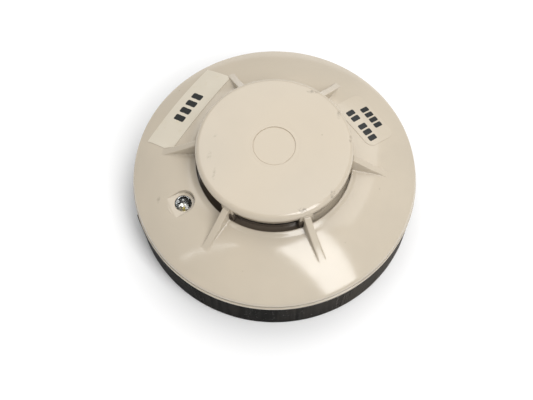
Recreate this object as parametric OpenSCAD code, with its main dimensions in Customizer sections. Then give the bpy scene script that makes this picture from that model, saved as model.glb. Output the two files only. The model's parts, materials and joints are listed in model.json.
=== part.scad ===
// Point heat detector: a cream detector head that twist-locks onto a dark steel mounting base.
// The model lies on its back: Z = 0 is the mounting face and +Z points out through the cap.
// Angles run counter-clockwise from +X, seen from the front. Lengths are millimetres.

/* [Cover] */
// Outer diameter of the front cover at its rim
cover_d = 110; // [108:1:140]
// Wall thickness of the cover and the rear housing
wall = 2; // [1.6:0.1:2.4]
// Radial distance from the rim in to the air slot
slope_w = 25.6; // [22:0.1:31]
// Radius of curvature of the domed slope
dome_curve_r = 55; // [45:1:75]
// Angle of the slope where it meets the rim
rim_angle = 33.8; // [28:0.1:36]
// Radius of the rim's rounded shoulder
rim_fillet = 2; // [1:0.1:3]
// Height of the raised lip round the air slot
lip_h = 0.3; // [0.2:0.1:1.6]
// Radial width of the lip's ramp
lip_w = 1.9; // [1.4:0.1:3]
// Depth of the LED pocket's floor below the slope at the LED
pocket_depth = 1.6; // [0.8:0.1:2]
// Radius of the LED pocket
pocket_r = 4.4; // [3.8:0.1:5]
// Angle of the LED round the cover
led_angle = 212.5; // [205:0.5:220]

/* [Cap and fins] */
// Height of the open air slot between the lip and the cap's skirt
slot_h = 4.6; // [3:0.1:6]
// Height of the cap's skirt
skirt_h = 3.5; // [2.5:0.1:5]
// Straight part of the cap's side above the skirt
cap_side_h = 0.9; // [0.5:0.1:3]
// Radius of the cap's rounded edge
cap_fillet = 2; // [1:0.1:2.4]
// How far the skirt steps in under the cap's edge
skirt_step = 0.9; // [0.4:0.1:1.4]
// Radius of the shallow round recess in the middle of the cap
recess_r = 7.9; // [5:0.1:12]
// Depth of that recess
recess_depth = 0.2; // [0.1:0.05:0.5]
// Number of fins between the cap and the slope
fin_count = 6; // [4:1:8]
// Thickness of a fin
fin_t = 2.5; // [1.8:0.1:3.2]
// Distance from the rim to a fin's tip
fin_margin = 11; // [8:0.5:14]
// Width of the post behind each fin
post_w = 5.3; // [4:0.1:7]

/* [Sensing chamber] */
// Thickness of the insect screen
screen_t = 0.4; // [0.3:0.05:0.6]
// Number of openings round the insect screen
screen_cells = 48; // [24:4:60]
// Height of the thermistor bead's tip above the chamber floor
bead_h = 6; // [4:0.1:7]
// Diameter of the thermistor bead
bead_d = 2.4; // [1.6:0.1:3]
// Thickness of the circuit board
board_t = 1.6; // [1:0.1:2.4]
// Diameter of the indicator lens
lens_d = 6.2; // [4:0.1:6.6]

/* [Rear housing] */
// Depth of the plug that enters the base
plug_depth = 7; // [5.5:0.1:9]
// Depth of the empty space under the circuit board
board_space = 3.7; // [3:0.1:6]
// Thickness of the visible rim edge
edge_t = 1.1; // [0.8:0.1:1.6]
// Height of the parting groove under the cover
groove_h = 0.6; // [0.4:0.1:1.2]

/* [Base] */
// Height of the steel base
base_h = 17; // [17:0.1:26]
// Thickness of the base's steel sheet
sheet_t = 1.2; // [0.8:0.1:1.6]
// How far the steel base stands out past the cover's rim
base_proud = 0.2; // [0:0.05:1]
// Width of the seam where the steel band's ends meet
seam_w = 0.8; // [0.4:0.1:2]
// Angle of that seam round the base
seam_angle = 204; // [195:1:215]
// Radius of the cable entry in the base
cable_r = 12.5; // [9:0.1:13]
// Distance between the two fixing slots
slot_spacing = 60; // [56:0.5:64]
// Length of a fixing slot, end to end
fixing_slot_l = 12; // [8:0.5:14]
// Width of the fixing slots and holes
fixing_w = 4.5; // [3.5:0.1:5]
// Distance between the two fixing holes
hole_spacing = 70; // [66:0.5:72]

/* [Twist lock] */
// Number of locking lugs
lug_count = 3; // [3:1:3]
// Angle that a lug spans
lug_span = 14; // [10:0.5:15]
// Angle that the head turns between locked and free
twist_angle = 18; // [16:0.5:20]
// How far a lug reaches out from the plug
lug_reach = 3; // [2.2:0.1:4]
// Thickness of a lug
lug_t = 2.2; // [1.6:0.1:2.6]

/* [Labels] */
// Length of the address tape
tape_l = 40; // [24:0.5:42]
// Width of the address tape
tape_w = 12; // [9:0.5:12.5]
// Length of the clear sticker
sticker_l = 22; // [14:0.5:23]
// Width of the clear sticker
sticker_w = 13; // [9:0.5:13.5]
// Thickness of both labels
label_t = 0.15; // [0.1:0.05:0.3]

/* [Hidden] */

// Fineness of the round faces
$fn = 96;
// Number of straight pieces in each curve of a turned outline
arc_steps = 10;
// Small overlap that joins the pieces of one moulding
bite = 0.2;
// Gap between pieces that sit together in one body
seat_gap = 0.05;
// Gap between pieces that turn past each other
run_gap = 0.3;
// Radial play of a screw, pin or rivet in its hole
pin_play = 0.05;

// Levels, from the mounting face up
edge_z0 = base_h + run_gap;
edge_z1 = edge_z0 + edge_t;
cover_z0 = edge_z1 + groove_h;
rim_z = cover_z0 + 0.5;
nest_drop = 0.8;
nest_z = edge_z0 - nest_drop;
plug_z = nest_z - plug_depth;
housing_floor_t = 1.8;
board_z = plug_z + housing_floor_t + board_space;
board_top = board_z + board_t;

// Outline of the dome: one arc, blended into the rim by the shoulder's fillet
cover_r = cover_d / 2;
dome_cx = cover_r - rim_fillet - (dome_curve_r - rim_fillet) * sin(rim_angle);
dome_cz = rim_z - (dome_curve_r - rim_fillet) * cos(rim_angle);
function arc_z(r, radius) = dome_cz + sqrt(radius * radius - (r - dome_cx) * (r - dome_cx));
function dome_z(r) = arc_z(r, dome_curve_r);
function dome_under_z(r) = arc_z(r, dome_curve_r - wall);
shoulder_r = dome_cx + dome_curve_r * sin(rim_angle);

// Lip, slot and cap
slot_r = cover_r - slope_w;
lip_out_r = slot_r + lip_w;
lip_z = dome_z(lip_out_r) + lip_h;
cap_r = slot_r - 0.2;
skirt_z0 = lip_z + slot_h;
skirt_z1 = skirt_z0 + skirt_h;
cap_top = skirt_z1 + cap_side_h + cap_fillet;
cap_under = cap_top - wall;
skirt_r = cap_r - skirt_step;
skirt_in_r = skirt_r - wall * 0.75;
floor_seat_z = dome_under_z(lip_out_r) - 1.4;

// Fins and posts
fin_tip_r = cover_r - fin_margin;
fin_root_z = skirt_z1 + cap_side_h * 0.4;
fin_sag = 0.5;
post_out_r = cap_r - 0.3;
post_low_z = dome_under_z(lip_out_r);

// Chamber floor and screen
floor_disc_t = 1.6;
floor_disc_z = floor_seat_z - seat_gap - floor_disc_t;
floor_disc_r = lip_out_r - 0.4;
floor_boss_r = skirt_in_r - 2 * seat_gap;
floor_land_r = slot_r - 4 * seat_gap;
floor_land_z = post_low_z - seat_gap;
floor_top = floor_disc_z + floor_disc_t + 3.1;
stand_r = 3;
stand_bore_r = 1.6;
stand_top = floor_top + 2.5;
leg_r = 2;
leg_at_r = 22;
screen_r = skirt_in_r - 0.2;
screen_h = skirt_z0 + 1.8 - floor_top;
screen_rows = 4;
screen_bar = 0.6;

// Steel base and the twist lock, from the outside in
base_r = cover_r + base_proud;
base_in_r = base_r - sheet_t;
edge_in_r = base_in_r - 1.6;
ring_gap = 6;
ring_t = 2;
ring_out_r = base_in_r - ring_gap;
ring_in_r = ring_out_r - ring_t;
lug_r = ring_in_r - 0.4;
plug_r = lug_r - lug_reach;
plug_in_r = plug_r - 1.8;
hook_in_r = plug_r + 0.6;
hook_z = plug_z + lug_t + run_gap;
hook_t = 2;
hook_span = lug_span + 2;
stop_span = 3;
stop_play = 0.6;
lug_angle0 = 90;

// Circuit board and what stands on it
board_r = plug_in_r - 0.6;
led_r = board_r - 2.3;
led_body_r = 1.5;
led_flange_r = 1.9;
led_h = 3.7;
lens_r = lens_d / 2;
lens_play = 0.1;
pocket_z = dome_z(led_r) - pocket_depth;
lens_boss_r = pocket_r + 1.6;
lens_boss_z = dome_under_z(led_r) - 1.9;
lens_collar_r = lens_r + 0.9;
lens_dome_h = 1.2;
board_post_r = 2.5;
board_post_at_r = 30;
board_post_n = 3;

// Screws that join the rear housing to the cover
screw_at_r = ring_out_r;
screw_angle0 = 30;
screw_n = 3;
screw_shank_r = 1.2;
screw_head_r = 2.4;
screw_head_h = 1.6;
screw_boss_r = 2.9;
screw_boss_top = dome_z(screw_at_r + screw_boss_r) - 0.1;
screw_l = screw_boss_top - nest_z - 1.2;

// Terminals in the base and the blades that meet them
pole_n = 4;
pole_angle0 = 45;
blade_t = 0.5;
blade_out_r = plug_in_r - 2.3;
blade_w = 6.5;
blade_span = 28;
blade_lead = 8;
blade_z = plug_z - blade_t;
pin_lead = 4.5;
pin_r = 1.2;
pin_head_r = 2.2;
pin_head_h = 0.8;
pin_stem_r = 0.6;
carrier_t = 2;
carrier_z = sheet_t;
carrier_top = carrier_z + carrier_t;
carrier_in_r = cable_r + 1.5;
pad_l = 14;
pad_w = 10;
pad_h = 2;
pad_r0 = blade_out_r - 18.5;
pad_top = carrier_top + pad_h;
spring_t = 0.5;
spring_w = 5;
spring_crest_r = blade_out_r - blade_w / 2;
spring_top = blade_z - run_gap;
clamp_t = 0.8;
clamp_w = 7;
clamp_at_r = pad_r0 + 4.6;
clamp_screw_r = 1.7;
clamp_head_r = 3;
clamp_head_h = 1.7;
rivet_r = 1.5;
rivet_head_r = 2.6;
rivet_head_h = 1;
rivet_at_r = ring_in_r - 5;

// Places of the labels on the slope: radius, angle, and the angle that their short side points
tape_r = cover_r - 13.6;
tape_angle = 150.1;
tape_turn = 152.4;
sticker_r = cover_r - 15.6;
sticker_angle = 33.6;
sticker_turn = 44;
sticker_corner = 3;

cream = [0.87, 0.83, 0.75];
dark_steel = [0.26, 0.26, 0.27];
bright_steel = [0.72, 0.73, 0.74];
carrier_cream = [0.82, 0.8, 0.74];
brass = [0.78, 0.64, 0.36];

// Copies of the children, spread evenly round the axis
module around(count, first = 0) {
    for (i = [0 : count - 1])
        rotate([0, 0, first + i * 360 / count])
            children();
}

// A ring or disc between two radii and two levels
module ring(r0, r1, z0, z1) {
    translate([0, 0, z0])
        difference() {
            cylinder(r = r1, h = z1 - z0);
            if (r0 > 0)
                translate([0, 0, -1])
                    cylinder(r = r0, h = z1 - z0 + 2);
        }
}

// Part of a ring, between two angles
module sector(r0, r1, z0, z1, a0, a1) {
    rotate([0, 0, a0])
        rotate_extrude(angle = a1 - a0)
            translate([r0, z0])
                square([r1 - r0, z1 - z0]);
}

module rod(r, z0, z1) {
    translate([0, 0, z0])
        cylinder(r = r, h = z1 - z0);
}

// A block that starts at radius r0, centred on the X axis
module block(r0, r1, width, z0, z1) {
    translate([r0, -width / 2, z0])
        cube([r1 - r0, width, z1 - z0]);
}

// ---- Front cover ----

// Height of the lip over the dome, a smooth ramp from the slot outwards
lip_crest_r = slot_r + 0.4;
lip_foot_r = lip_out_r + 0.7;
function ramp(t) = t * t * (3 - 2 * t);
function lip_rise(r) = lip_h * ramp((lip_foot_r - r) / (lip_foot_r - lip_crest_r));

shoulder_points = [for (i = [0 : arc_steps - 1])
    let (a = i * (90 - rim_angle) / arc_steps)
    [cover_r - rim_fillet + rim_fillet * cos(a), rim_z + rim_fillet * sin(a)]];
dome_points = [for (i = [0 : 2 * arc_steps])
    let (r = shoulder_r + (lip_foot_r - shoulder_r) * i / (2 * arc_steps))
    [r, dome_z(r)]];
lip_points = [for (i = [1 : arc_steps])
    let (r = lip_foot_r + (lip_crest_r - lip_foot_r) * i / arc_steps)
    [r, dome_z(r) + lip_rise(r)]];
under_r0 = lip_out_r;
under_r1 = cover_r - wall;
under_points = [for (i = [0 : 2 * arc_steps])
    let (r = under_r0 + (under_r1 - under_r0) * i / (2 * arc_steps))
    [r, dome_under_z(r)]];

module slope_shell() {
    rotate_extrude()
        polygon(concat(
            [[cover_r, cover_z0]], shoulder_points, dome_points, lip_points,
            [[slot_r, lip_z - 0.3], [slot_r, floor_seat_z], [lip_out_r, floor_seat_z]],
            under_points, [[under_r1, cover_z0]]));
}

cap_points = [for (i = [0 : arc_steps])
    let (a = i * 90 / arc_steps)
    [cap_r - cap_fillet + cap_fillet * cos(a), cap_top - cap_fillet + cap_fillet * sin(a)]];

module cap_shell() {
    rotate_extrude()
        polygon(concat(
            [[skirt_in_r, skirt_z0], [skirt_r, skirt_z0], [skirt_r, skirt_z1], [cap_r, skirt_z1]],
            cap_points,
            [[recess_r, cap_top], [recess_r, cap_top - recess_depth], [0, cap_top - recess_depth],
            [0, cap_under], [skirt_in_r, cap_under]]));
}

fin_root_r = cap_r - 1;
fin_steps = 8;
function fin_r(i) = fin_root_r + (fin_tip_r - fin_root_r) * i / fin_steps;
function fin_crest(i) = fin_root_z + (dome_z(fin_tip_r) - 0.2 - fin_root_z) * i / fin_steps
    - fin_sag * 4 * i * (fin_steps - i) / (fin_steps * fin_steps);

// A fin: its crest falls from the cap's side to the slope, and its outer end is rounded
module fin() {
    crest = [for (i = [0 : fin_steps]) [fin_r(i), fin_crest(i)]];
    root = [for (i = [fin_steps : -1 : 0]) [fin_r(i), min(dome_z(fin_r(i)), fin_crest(i)) - 1]];
    intersection() {
        rotate([90, 0, 0])
            linear_extrude(fin_t, center = true)
                polygon(concat(crest, root));
        union() {
            block(0, fin_tip_r - fin_t / 2, fin_t + 1, 0, cap_top);
            translate([fin_tip_r - fin_t / 2, 0, 0])
                cylinder(r = fin_t / 2, h = cap_top);
        }
    }
}

// The post behind a fin joins the cap's skirt to the lip
module post() {
    intersection() {
        union() {
            ring(skirt_in_r, post_out_r, lip_z - 0.6, skirt_z1 + bite);
            ring(skirt_in_r, lip_out_r - 0.5, post_low_z, lip_z - 0.5);
        }
        block(0, cover_r, post_w, 0, cap_top);
    }
}

module lens_place() {
    rotate([0, 0, led_angle])
        translate([led_r, 0, 0])
            children();
}

module front_cover() {
    color(cream)
        difference() {
            union() {
                slope_shell();
                cap_shell();
                around(fin_count)
                    union() {
                        fin();
                        post();
                    }
                around(screw_n, screw_angle0)
                    translate([screw_at_r, 0, 0])
                        rod(screw_boss_r, edge_z1 + seat_gap, screw_boss_top);
                lens_place()
                    rod(lens_boss_r, lens_boss_z, pocket_z - bite);
            }
            around(screw_n, screw_angle0)
                translate([screw_at_r, 0, 0])
                    rod(screw_shank_r + pin_play, edge_z1 - 1, screw_boss_top - 1);
            lens_place()
                union() {
                    rod(pocket_r, pocket_z, cap_top);
                    block(0, fin_margin, pocket_r * 2, pocket_z, cap_top);
                    rod(lens_r + lens_play, lens_boss_z - 1, pocket_z + 1);
                }
        }
}

// ---- Sensing chamber ----

module insect_screen() {
    cell_h = (screen_h - screen_bar) / screen_rows;
    color([0.12, 0.11, 0.1])
        difference() {
            ring(screen_r - screen_t, screen_r, floor_top, floor_top + screen_h);
            around(screen_cells)
                for (row = [0 : screen_rows - 1])
                    block(screen_r - 1.5, screen_r + 1,
                        2 * PI * screen_r / screen_cells - screen_bar,
                        floor_top + screen_bar + row * cell_h,
                        floor_top + (row + 1) * cell_h);
        }
}

module chamber_floor() {
    color(cream)
        difference() {
            union() {
                ring(0, floor_disc_r, floor_disc_z, floor_disc_z + floor_disc_t);
                ring(0, floor_land_r, floor_disc_z, floor_land_z);
                ring(0, floor_boss_r, floor_disc_z, floor_top);
                ring(0, stand_r, floor_disc_z, stand_top);
                around(board_post_n, 60)
                    translate([leg_at_r, 0, 0])
                        rod(leg_r, board_top, floor_disc_z + bite);
            }
            rod(stand_bore_r, floor_disc_z - 1, stand_top + 1);
            difference() {
                rod(floor_boss_r - wall, floor_disc_z - 1, floor_top - wall * 0.75);
                around(board_post_n, 60)
                    translate([leg_at_r, 0, 0])
                        rod(leg_r, floor_disc_z - 2, floor_top);
                rod(stand_r, floor_disc_z - 2, floor_top);
            }
        }
}

bead_tip = floor_top + bead_h;
bead_r = bead_d / 2;
bead_base = bead_tip - bead_d - 0.6;
lead_r = 0.25;
lead_x = 0.6;

module thermistor_bead() {
    color([0.1, 0.1, 0.12])
        union() {
            rod(bead_r - 0.1, bead_base, bead_tip - bead_r);
            translate([0, 0, bead_tip - bead_r])
                sphere(r = bead_r, $fn = 48);
        }
}

module thermistor_leads() {
    color(bright_steel)
        around(2)
            translate([lead_x, 0, 0])
                rod(lead_r, board_z - 1, bead_base);
}

// ---- Electronics ----

module pole_places(lead) {
    around(pole_n, pole_angle0 + lead)
        translate([spring_crest_r, 0, 0])
            children();
}

module circuit_board() {
    color([0.1, 0.36, 0.2])
        difference() {
            ring(0, board_r, board_z, board_top);
            around(2)
                translate([lead_x, 0, 0])
                    rod(lead_r + pin_play, board_z - 1, board_top + 1);
            pole_places(pin_lead)
                rod(pin_stem_r + pin_play, board_z - 1, board_top + 1);
        }
}

chip_l = 10;
chip_w = 7;
chip_h = 1.9;
chip_x = -12;
chip_legs = 8;
leg_pitch = 1.27;

module microcontroller() {
    color([0.12, 0.12, 0.13])
        translate([chip_x, 0, board_top])
            union() {
                translate([-chip_w / 2, -chip_l / 2, 0.15])
                    cube([chip_w, chip_l, chip_h]);
                for (i = [0 : chip_legs - 1])
                    translate([-chip_w / 2 - 1.2, (i - (chip_legs - 1) / 2) * leg_pitch - 0.2, 0])
                        cube([chip_w + 2.4, 0.4, 0.3]);
            }
}

can_r = 4;
can_h = 5.6;
can_x = 13;
can_y = 8;

module electrolytic_capacitor() {
    color([0.16, 0.2, 0.4])
        translate([can_x, can_y, 0])
            union() {
                rod(can_r, board_top, board_top + 0.8);
                rod(can_r - 0.3, board_top + 0.8, board_top + 1.3);
                rod(can_r, board_top + 1.3, board_top + can_h);
            }
}

chip_part = [2, 1.25, 0.6];
part_row_n = 6;
part_pitch = 3.2;
part_x0 = 4;
part_y0 = -16;
part_row_gap = 4.5;

module surface_mount_parts() {
    color([0.14, 0.13, 0.12])
        for (row = [0 : 1])
            for (i = [0 : part_row_n - 1])
                translate([part_x0 + row * part_row_gap, part_y0 + i * part_pitch, board_top])
                    cube(chip_part);
}

module indicator_led() {
    color([0.8, 0.82, 0.8])
        lens_place()
            union() {
                rod(led_flange_r, board_top, board_top + 0.9);
                rod(led_body_r, board_top + 0.9, board_top + led_h - led_body_r);
                translate([0, 0, board_top + led_h - led_body_r])
                    sphere(r = led_body_r, $fn = 48);
            }
}

// Outline of the lens: a round rod with a collar and a low domed end
lens_bend_r = (lens_r * lens_r + lens_dome_h * lens_dome_h) / (2 * lens_dome_h);
lens_bend_a = asin(lens_r / lens_bend_r);
lens_side_top = pocket_z + 0.3;
lens_points = [for (i = [0 : arc_steps - 1])
    let (a = lens_bend_a * (1 - i / arc_steps))
    [lens_bend_r * sin(a), lens_side_top + lens_dome_h - lens_bend_r + lens_bend_r * cos(a)]];
lens_foot = board_top + led_h + 0.4;

module indicator_lens() {
    color([0.25, 0.26, 0.27])
        lens_place()
            rotate_extrude()
                polygon(concat(
                    [[0, lens_foot], [lens_r, lens_foot],
                    [lens_r, lens_boss_z - 1], [lens_collar_r, lens_boss_z - 1],
                    [lens_collar_r, lens_boss_z - seat_gap], [lens_r, lens_boss_z - seat_gap]],
                    lens_points, [[0, lens_side_top + lens_dome_h]]));
}

// ---- Rear housing ----

module rear_housing() {
    lip_r0 = cover_r - wall - 1.4;
    lip_r1 = cover_r - wall - 0.2;
    color(cream)
        difference() {
            union() {
                ring(0, plug_r, plug_z, plug_z + housing_floor_t);
                ring(plug_in_r, plug_r, plug_z, edge_z1);
                ring(plug_in_r, edge_in_r, nest_z, edge_z1);
                ring(plug_in_r, cover_r, edge_z0, edge_z1);
                ring(lip_r0, lip_r1, edge_z1 - bite, edge_z1 + groove_h + 0.4);
                around(board_post_n)
                    translate([board_post_at_r, 0, 0])
                        rod(board_post_r, plug_z + bite, board_z);
                around(lug_count, lug_angle0)
                    sector(plug_r - bite, lug_r, plug_z, plug_z + lug_t, -lug_span / 2, lug_span / 2);
            }
            around(screw_n, screw_angle0)
                translate([screw_at_r, 0, 0])
                    rod(screw_shank_r + pin_play, nest_z - 1, edge_z1 + 1);
            pole_places(pin_lead)
                rod(pin_r + pin_play, plug_z - 1, plug_z + housing_floor_t + 1);
        }
}

module contact_blades() {
    color(brass)
        difference() {
            around(pole_n, pole_angle0)
                sector(blade_out_r - blade_w, blade_out_r, blade_z, plug_z,
                    blade_lead - blade_span, blade_lead);
            pole_places(pin_lead)
                rod(pin_r + pin_play, blade_z - 1, plug_z + 1);
        }
}

module contact_pins() {
    pin_top = plug_z + housing_floor_t;
    color(bright_steel)
        pole_places(pin_lead)
            union() {
                rod(pin_r, blade_z, pin_top + bite);
                rod(pin_head_r, pin_top, pin_top + pin_head_h);
                rod(pin_stem_r, pin_top + pin_head_h - bite, board_top + 0.8);
            }
}

module housing_screws() {
    color(bright_steel)
        around(screw_n, screw_angle0)
            translate([screw_at_r, 0, 0])
                difference() {
                    union() {
                        rod(screw_head_r, nest_z - screw_head_h, nest_z);
                        rod(screw_shank_r, nest_z - bite, nest_z + screw_l);
                    }
                    for (a = [0, 90])
                        rotate([0, 0, a])
                            block(-1.4, 1.4, 0.6, nest_z - screw_head_h - 1, nest_z - 0.8);
                }
}

// ---- Labels ----

// A skin that lies on the slope, between two heights over it
module slope_skin(gap, thickness) {
    r0 = lip_foot_r + 0.3;
    r1 = shoulder_r - 0.2;
    steps = 2 * arc_steps;
    low = [for (i = [0 : steps]) let (r = r0 + (r1 - r0) * i / steps) [r, dome_z(r) + gap]];
    high = [for (i = [steps : -1 : 0])
        let (r = r0 + (r1 - r0) * i / steps) [r, dome_z(r) + gap + thickness]];
    rotate_extrude()
        polygon(concat(low, high));
}

// The tape's ends are trimmed where they meet the sides of the fins
module address_tape() {
    color([0.91, 0.88, 0.8])
        difference() {
            intersection() {
                slope_skin(seat_gap, label_t);
                rotate([0, 0, tape_angle])
                    translate([tape_r, 0, 0])
                        rotate([0, 0, tape_turn - tape_angle])
                            translate([-tape_w / 2, -tape_l / 2, 0])
                                cube([tape_w, tape_l, cap_top]);
            }
            around(fin_count)
                block(0, fin_tip_r + seat_gap, fin_t + 2 * seat_gap, 0, cap_top);
        }
}

module clear_sticker() {
    half_w = sticker_w / 2 - sticker_corner;
    half_l = sticker_l / 2 - sticker_corner;
    color([0.85, 0.84, 0.78, 0.5])
        intersection() {
            slope_skin(seat_gap, label_t);
            rotate([0, 0, sticker_angle])
                translate([sticker_r, 0, 0])
                    rotate([0, 0, sticker_turn - sticker_angle])
                        union() {
                            translate([-sticker_w / 2, -half_l, 0])
                                cube([sticker_w, 2 * half_l, cap_top]);
                            translate([-half_w, -sticker_l / 2, 0])
                                cube([2 * half_w, sticker_l, cap_top]);
                            for (x = [-half_w, half_w], y = [-half_l, half_l])
                                translate([x, y, 0])
                                    cylinder(r = sticker_corner, h = cap_top);
                        }
        }
}

// ---- Steel base ----

// Outline of a slotted hole that runs along X
module slot_hole(length, width, z0, z1) {
    half = (length - width) / 2;
    block(-half, half, width, z0, z1);
    for (x = [-half, half])
        translate([x, 0, 0])
            rod(width / 2, z0, z1);
}

module carrier_rivet_places() {
    around(pole_n, pole_angle0)
        translate([rivet_at_r, 0, 0])
            children();
}

// The flat back plate, with a rounded outer edge
module base_plate() {
    corner = 1;
    color(dark_steel)
        difference() {
            rotate_extrude()
                polygon(concat(
                    [[0, 0], [base_r - corner, 0]],
                    [for (i = [1 : arc_steps])
                        let (a = -90 + i * 90 / arc_steps)
                        [base_r - corner + corner * cos(a), corner + corner * sin(a)]],
                    [[base_r, sheet_t], [0, sheet_t]]));
            rod(cable_r, -1, sheet_t + 1);
            for (side = [-1, 1])
                translate([side * slot_spacing / 2, 0, 0])
                    slot_hole(fixing_slot_l, fixing_w, -1, sheet_t + 1);
            for (side = [-1, 1])
                translate([0, side * hole_spacing / 2, 0])
                    rod(fixing_w / 2, -1, sheet_t + 1);
            carrier_rivet_places()
                rod(rivet_r + pin_play, -1, sheet_t + 1);
        }
}

// The band is a strip of sheet, rolled round and welded onto the back plate's edge
module base_band() {
    color(dark_steel)
        difference() {
            ring(base_in_r, base_r, sheet_t, base_h);
            rotate([0, 0, seam_angle])
                block(base_in_r - 1, base_r + 1, seam_w, 0, base_h + 1);
        }
}

module terminal_carrier() {
    window_play = 3;
    color(carrier_cream)
        difference() {
            union() {
                ring(carrier_in_r, ring_out_r, carrier_z, carrier_top);
                around(pole_n, pole_angle0)
                    block(pad_r0, pad_r0 + pad_l, pad_w, carrier_top - bite, pad_top);
            }
            for (side = [-1, 1])
                translate([side * slot_spacing / 2, 0, 0])
                    block(-fixing_slot_l / 2 - window_play, fixing_slot_l / 2 + window_play,
                        fixing_w + 2 * window_play, 0, carrier_top + 1);
            for (side = [-1, 1])
                translate([0, side * hole_spacing / 2, 0])
                    rod(fixing_w / 2 + window_play, 0, carrier_top + 1);
            around(pole_n, pole_angle0)
                translate([clamp_at_r, 0, 0])
                    rod(clamp_screw_r + pin_play, carrier_z + 0.4, pad_top + 1);
            carrier_rivet_places()
                rod(rivet_r + pin_play, 0, carrier_top + 1);
        }
}

// The ring that the head's lugs turn under: each lug has a hook over it and a stop at each end
module lock_ring() {
    color(carrier_cream)
        union() {
            ring(ring_in_r, ring_out_r, carrier_top, hook_z + hook_t);
            around(lug_count, lug_angle0)
                union() {
                    sector(hook_in_r, ring_in_r + bite, hook_z, hook_z + hook_t - bite,
                        -hook_span / 2, hook_span / 2);
                    lug_stop(-lug_span / 2 - stop_play - stop_span);
                    lug_stop(lug_span / 2 + stop_play + twist_angle);
                }
        }
}

// A stop that a lug meets at one end of the turn
module lug_stop(start) {
    sector(hook_in_r + bite / 2, ring_in_r + bite, plug_z - 1.5, hook_z + hook_t / 2,
        start, start + stop_span);
}

module carrier_rivets() {
    color(bright_steel)
        carrier_rivet_places()
            union() {
                rod(rivet_r, 0.1, carrier_top + bite);
                rod(rivet_head_r, carrier_top, carrier_top + rivet_head_h);
            }
}

// A terminal's strip: flat on its pad, then bent up to a crest under the blade
spring_flat_r = pad_r0 + 9;
spring_end_r = spring_crest_r + 3;
spring_line = [
    [pad_r0 + 1, pad_top], [spring_flat_r, pad_top],
    [spring_crest_r - 1, spring_top - spring_t], [spring_crest_r + 1, spring_top - spring_t],
    [spring_end_r, spring_top - spring_t - 1.6]];
spring_rise = [for (p = [len(spring_line) - 1 : -1 : 0]) [spring_line[p][0], spring_line[p][1] + spring_t]];

module contact_springs() {
    color(brass)
        around(pole_n, pole_angle0)
            difference() {
                rotate([90, 0, 0])
                    linear_extrude(spring_w, center = true)
                        polygon(concat(spring_line, spring_rise));
                translate([clamp_at_r, 0, 0])
                    rod(clamp_screw_r + pin_play, pad_top - 1, pad_top + spring_t + 1);
            }
}

clamp_z = pad_top + spring_t;

module terminal_clamps() {
    color(bright_steel)
        around(pole_n, pole_angle0)
            difference() {
                block(clamp_at_r - clamp_w / 2, clamp_at_r + clamp_w / 2, clamp_w,
                    clamp_z, clamp_z + clamp_t);
                translate([clamp_at_r, 0, 0])
                    rod(clamp_screw_r + pin_play, clamp_z - 1, clamp_z + clamp_t + 1);
            }
}

module terminal_screws() {
    head_z = clamp_z + clamp_t;
    color(brass)
        around(pole_n, pole_angle0)
            translate([clamp_at_r, 0, 0])
                difference() {
                    union() {
                        rod(clamp_screw_r, carrier_z + 0.5, head_z + bite);
                        rod(clamp_head_r, head_z, head_z + clamp_head_h);
                    }
                    block(-clamp_head_r - 1, clamp_head_r + 1, 0.8,
                        head_z + clamp_head_h - 0.9, head_z + clamp_head_h + 1);
                }
}

front_cover();
insect_screen();
chamber_floor();
thermistor_bead();
thermistor_leads();
circuit_board();
microcontroller();
electrolytic_capacitor();
surface_mount_parts();
indicator_led();
indicator_lens();
rear_housing();
contact_blades();
contact_pins();
housing_screws();
address_tape();
clear_sticker();
base_plate();
base_band();
terminal_carrier();
lock_ring();
carrier_rivets();
contact_springs();
terminal_clamps();
terminal_screws();
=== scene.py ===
"""Looks of a round point heat detector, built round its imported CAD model.

Lengths are millimetres and angles degrees, in the CAD frame: Z = 0 is the mounting face, +Z points out
through the cap, and angles run counter-clockwise from +X, seen from the front. MM turns them to metres.
"""
import json
import math

import bmesh
import bpy
from mathutils import Matrix, Vector


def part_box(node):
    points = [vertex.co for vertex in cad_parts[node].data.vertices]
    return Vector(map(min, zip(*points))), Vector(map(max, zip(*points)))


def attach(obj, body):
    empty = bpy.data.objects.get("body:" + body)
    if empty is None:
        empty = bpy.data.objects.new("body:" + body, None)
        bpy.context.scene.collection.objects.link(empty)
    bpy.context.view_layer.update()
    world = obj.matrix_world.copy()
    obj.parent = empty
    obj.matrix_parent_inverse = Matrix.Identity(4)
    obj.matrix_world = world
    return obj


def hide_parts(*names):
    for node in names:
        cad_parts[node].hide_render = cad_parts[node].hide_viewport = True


MM = 0.001
WELD = 0.004  # Points closer than this are merged after the Boolean cuts

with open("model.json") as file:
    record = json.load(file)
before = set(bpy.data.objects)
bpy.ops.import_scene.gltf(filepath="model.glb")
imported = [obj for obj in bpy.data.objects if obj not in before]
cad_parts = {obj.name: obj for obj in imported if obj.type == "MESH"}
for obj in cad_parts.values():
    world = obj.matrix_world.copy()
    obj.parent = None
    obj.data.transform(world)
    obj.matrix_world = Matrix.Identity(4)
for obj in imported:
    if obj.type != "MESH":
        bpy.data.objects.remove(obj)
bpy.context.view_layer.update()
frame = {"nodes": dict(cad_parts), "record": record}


# ---- Sizes, worked out from the CAD boxes ----

def box_mm(node):
    lo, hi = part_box(node)
    return lo / MM, hi / MM


cover_r = box_mm("front_cover")[1].x
cap_top = box_mm("front_cover")[1].z
base_r = box_mm("base_band")[1].x
base_h = box_mm("base_band")[1].z
sheet_t = box_mm("base_plate")[1].z
plug_z = box_mm("rear_housing")[0].z
screen_lo, screen_hi = box_mm("insect_screen")
lens_lo, lens_hi = box_mm("indicator_lens")
board_top = box_mm("indicator_led")[0].z

WALL = 2.0
RUN_GAP = 0.3
EDGE_T = 1.1
GROOVE_H = 0.6
edge_z0 = base_h + RUN_GAP
edge_z1 = edge_z0 + EDGE_T
cover_z0 = edge_z1 + GROOVE_H
rim_z = cover_z0 + 0.5

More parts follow.
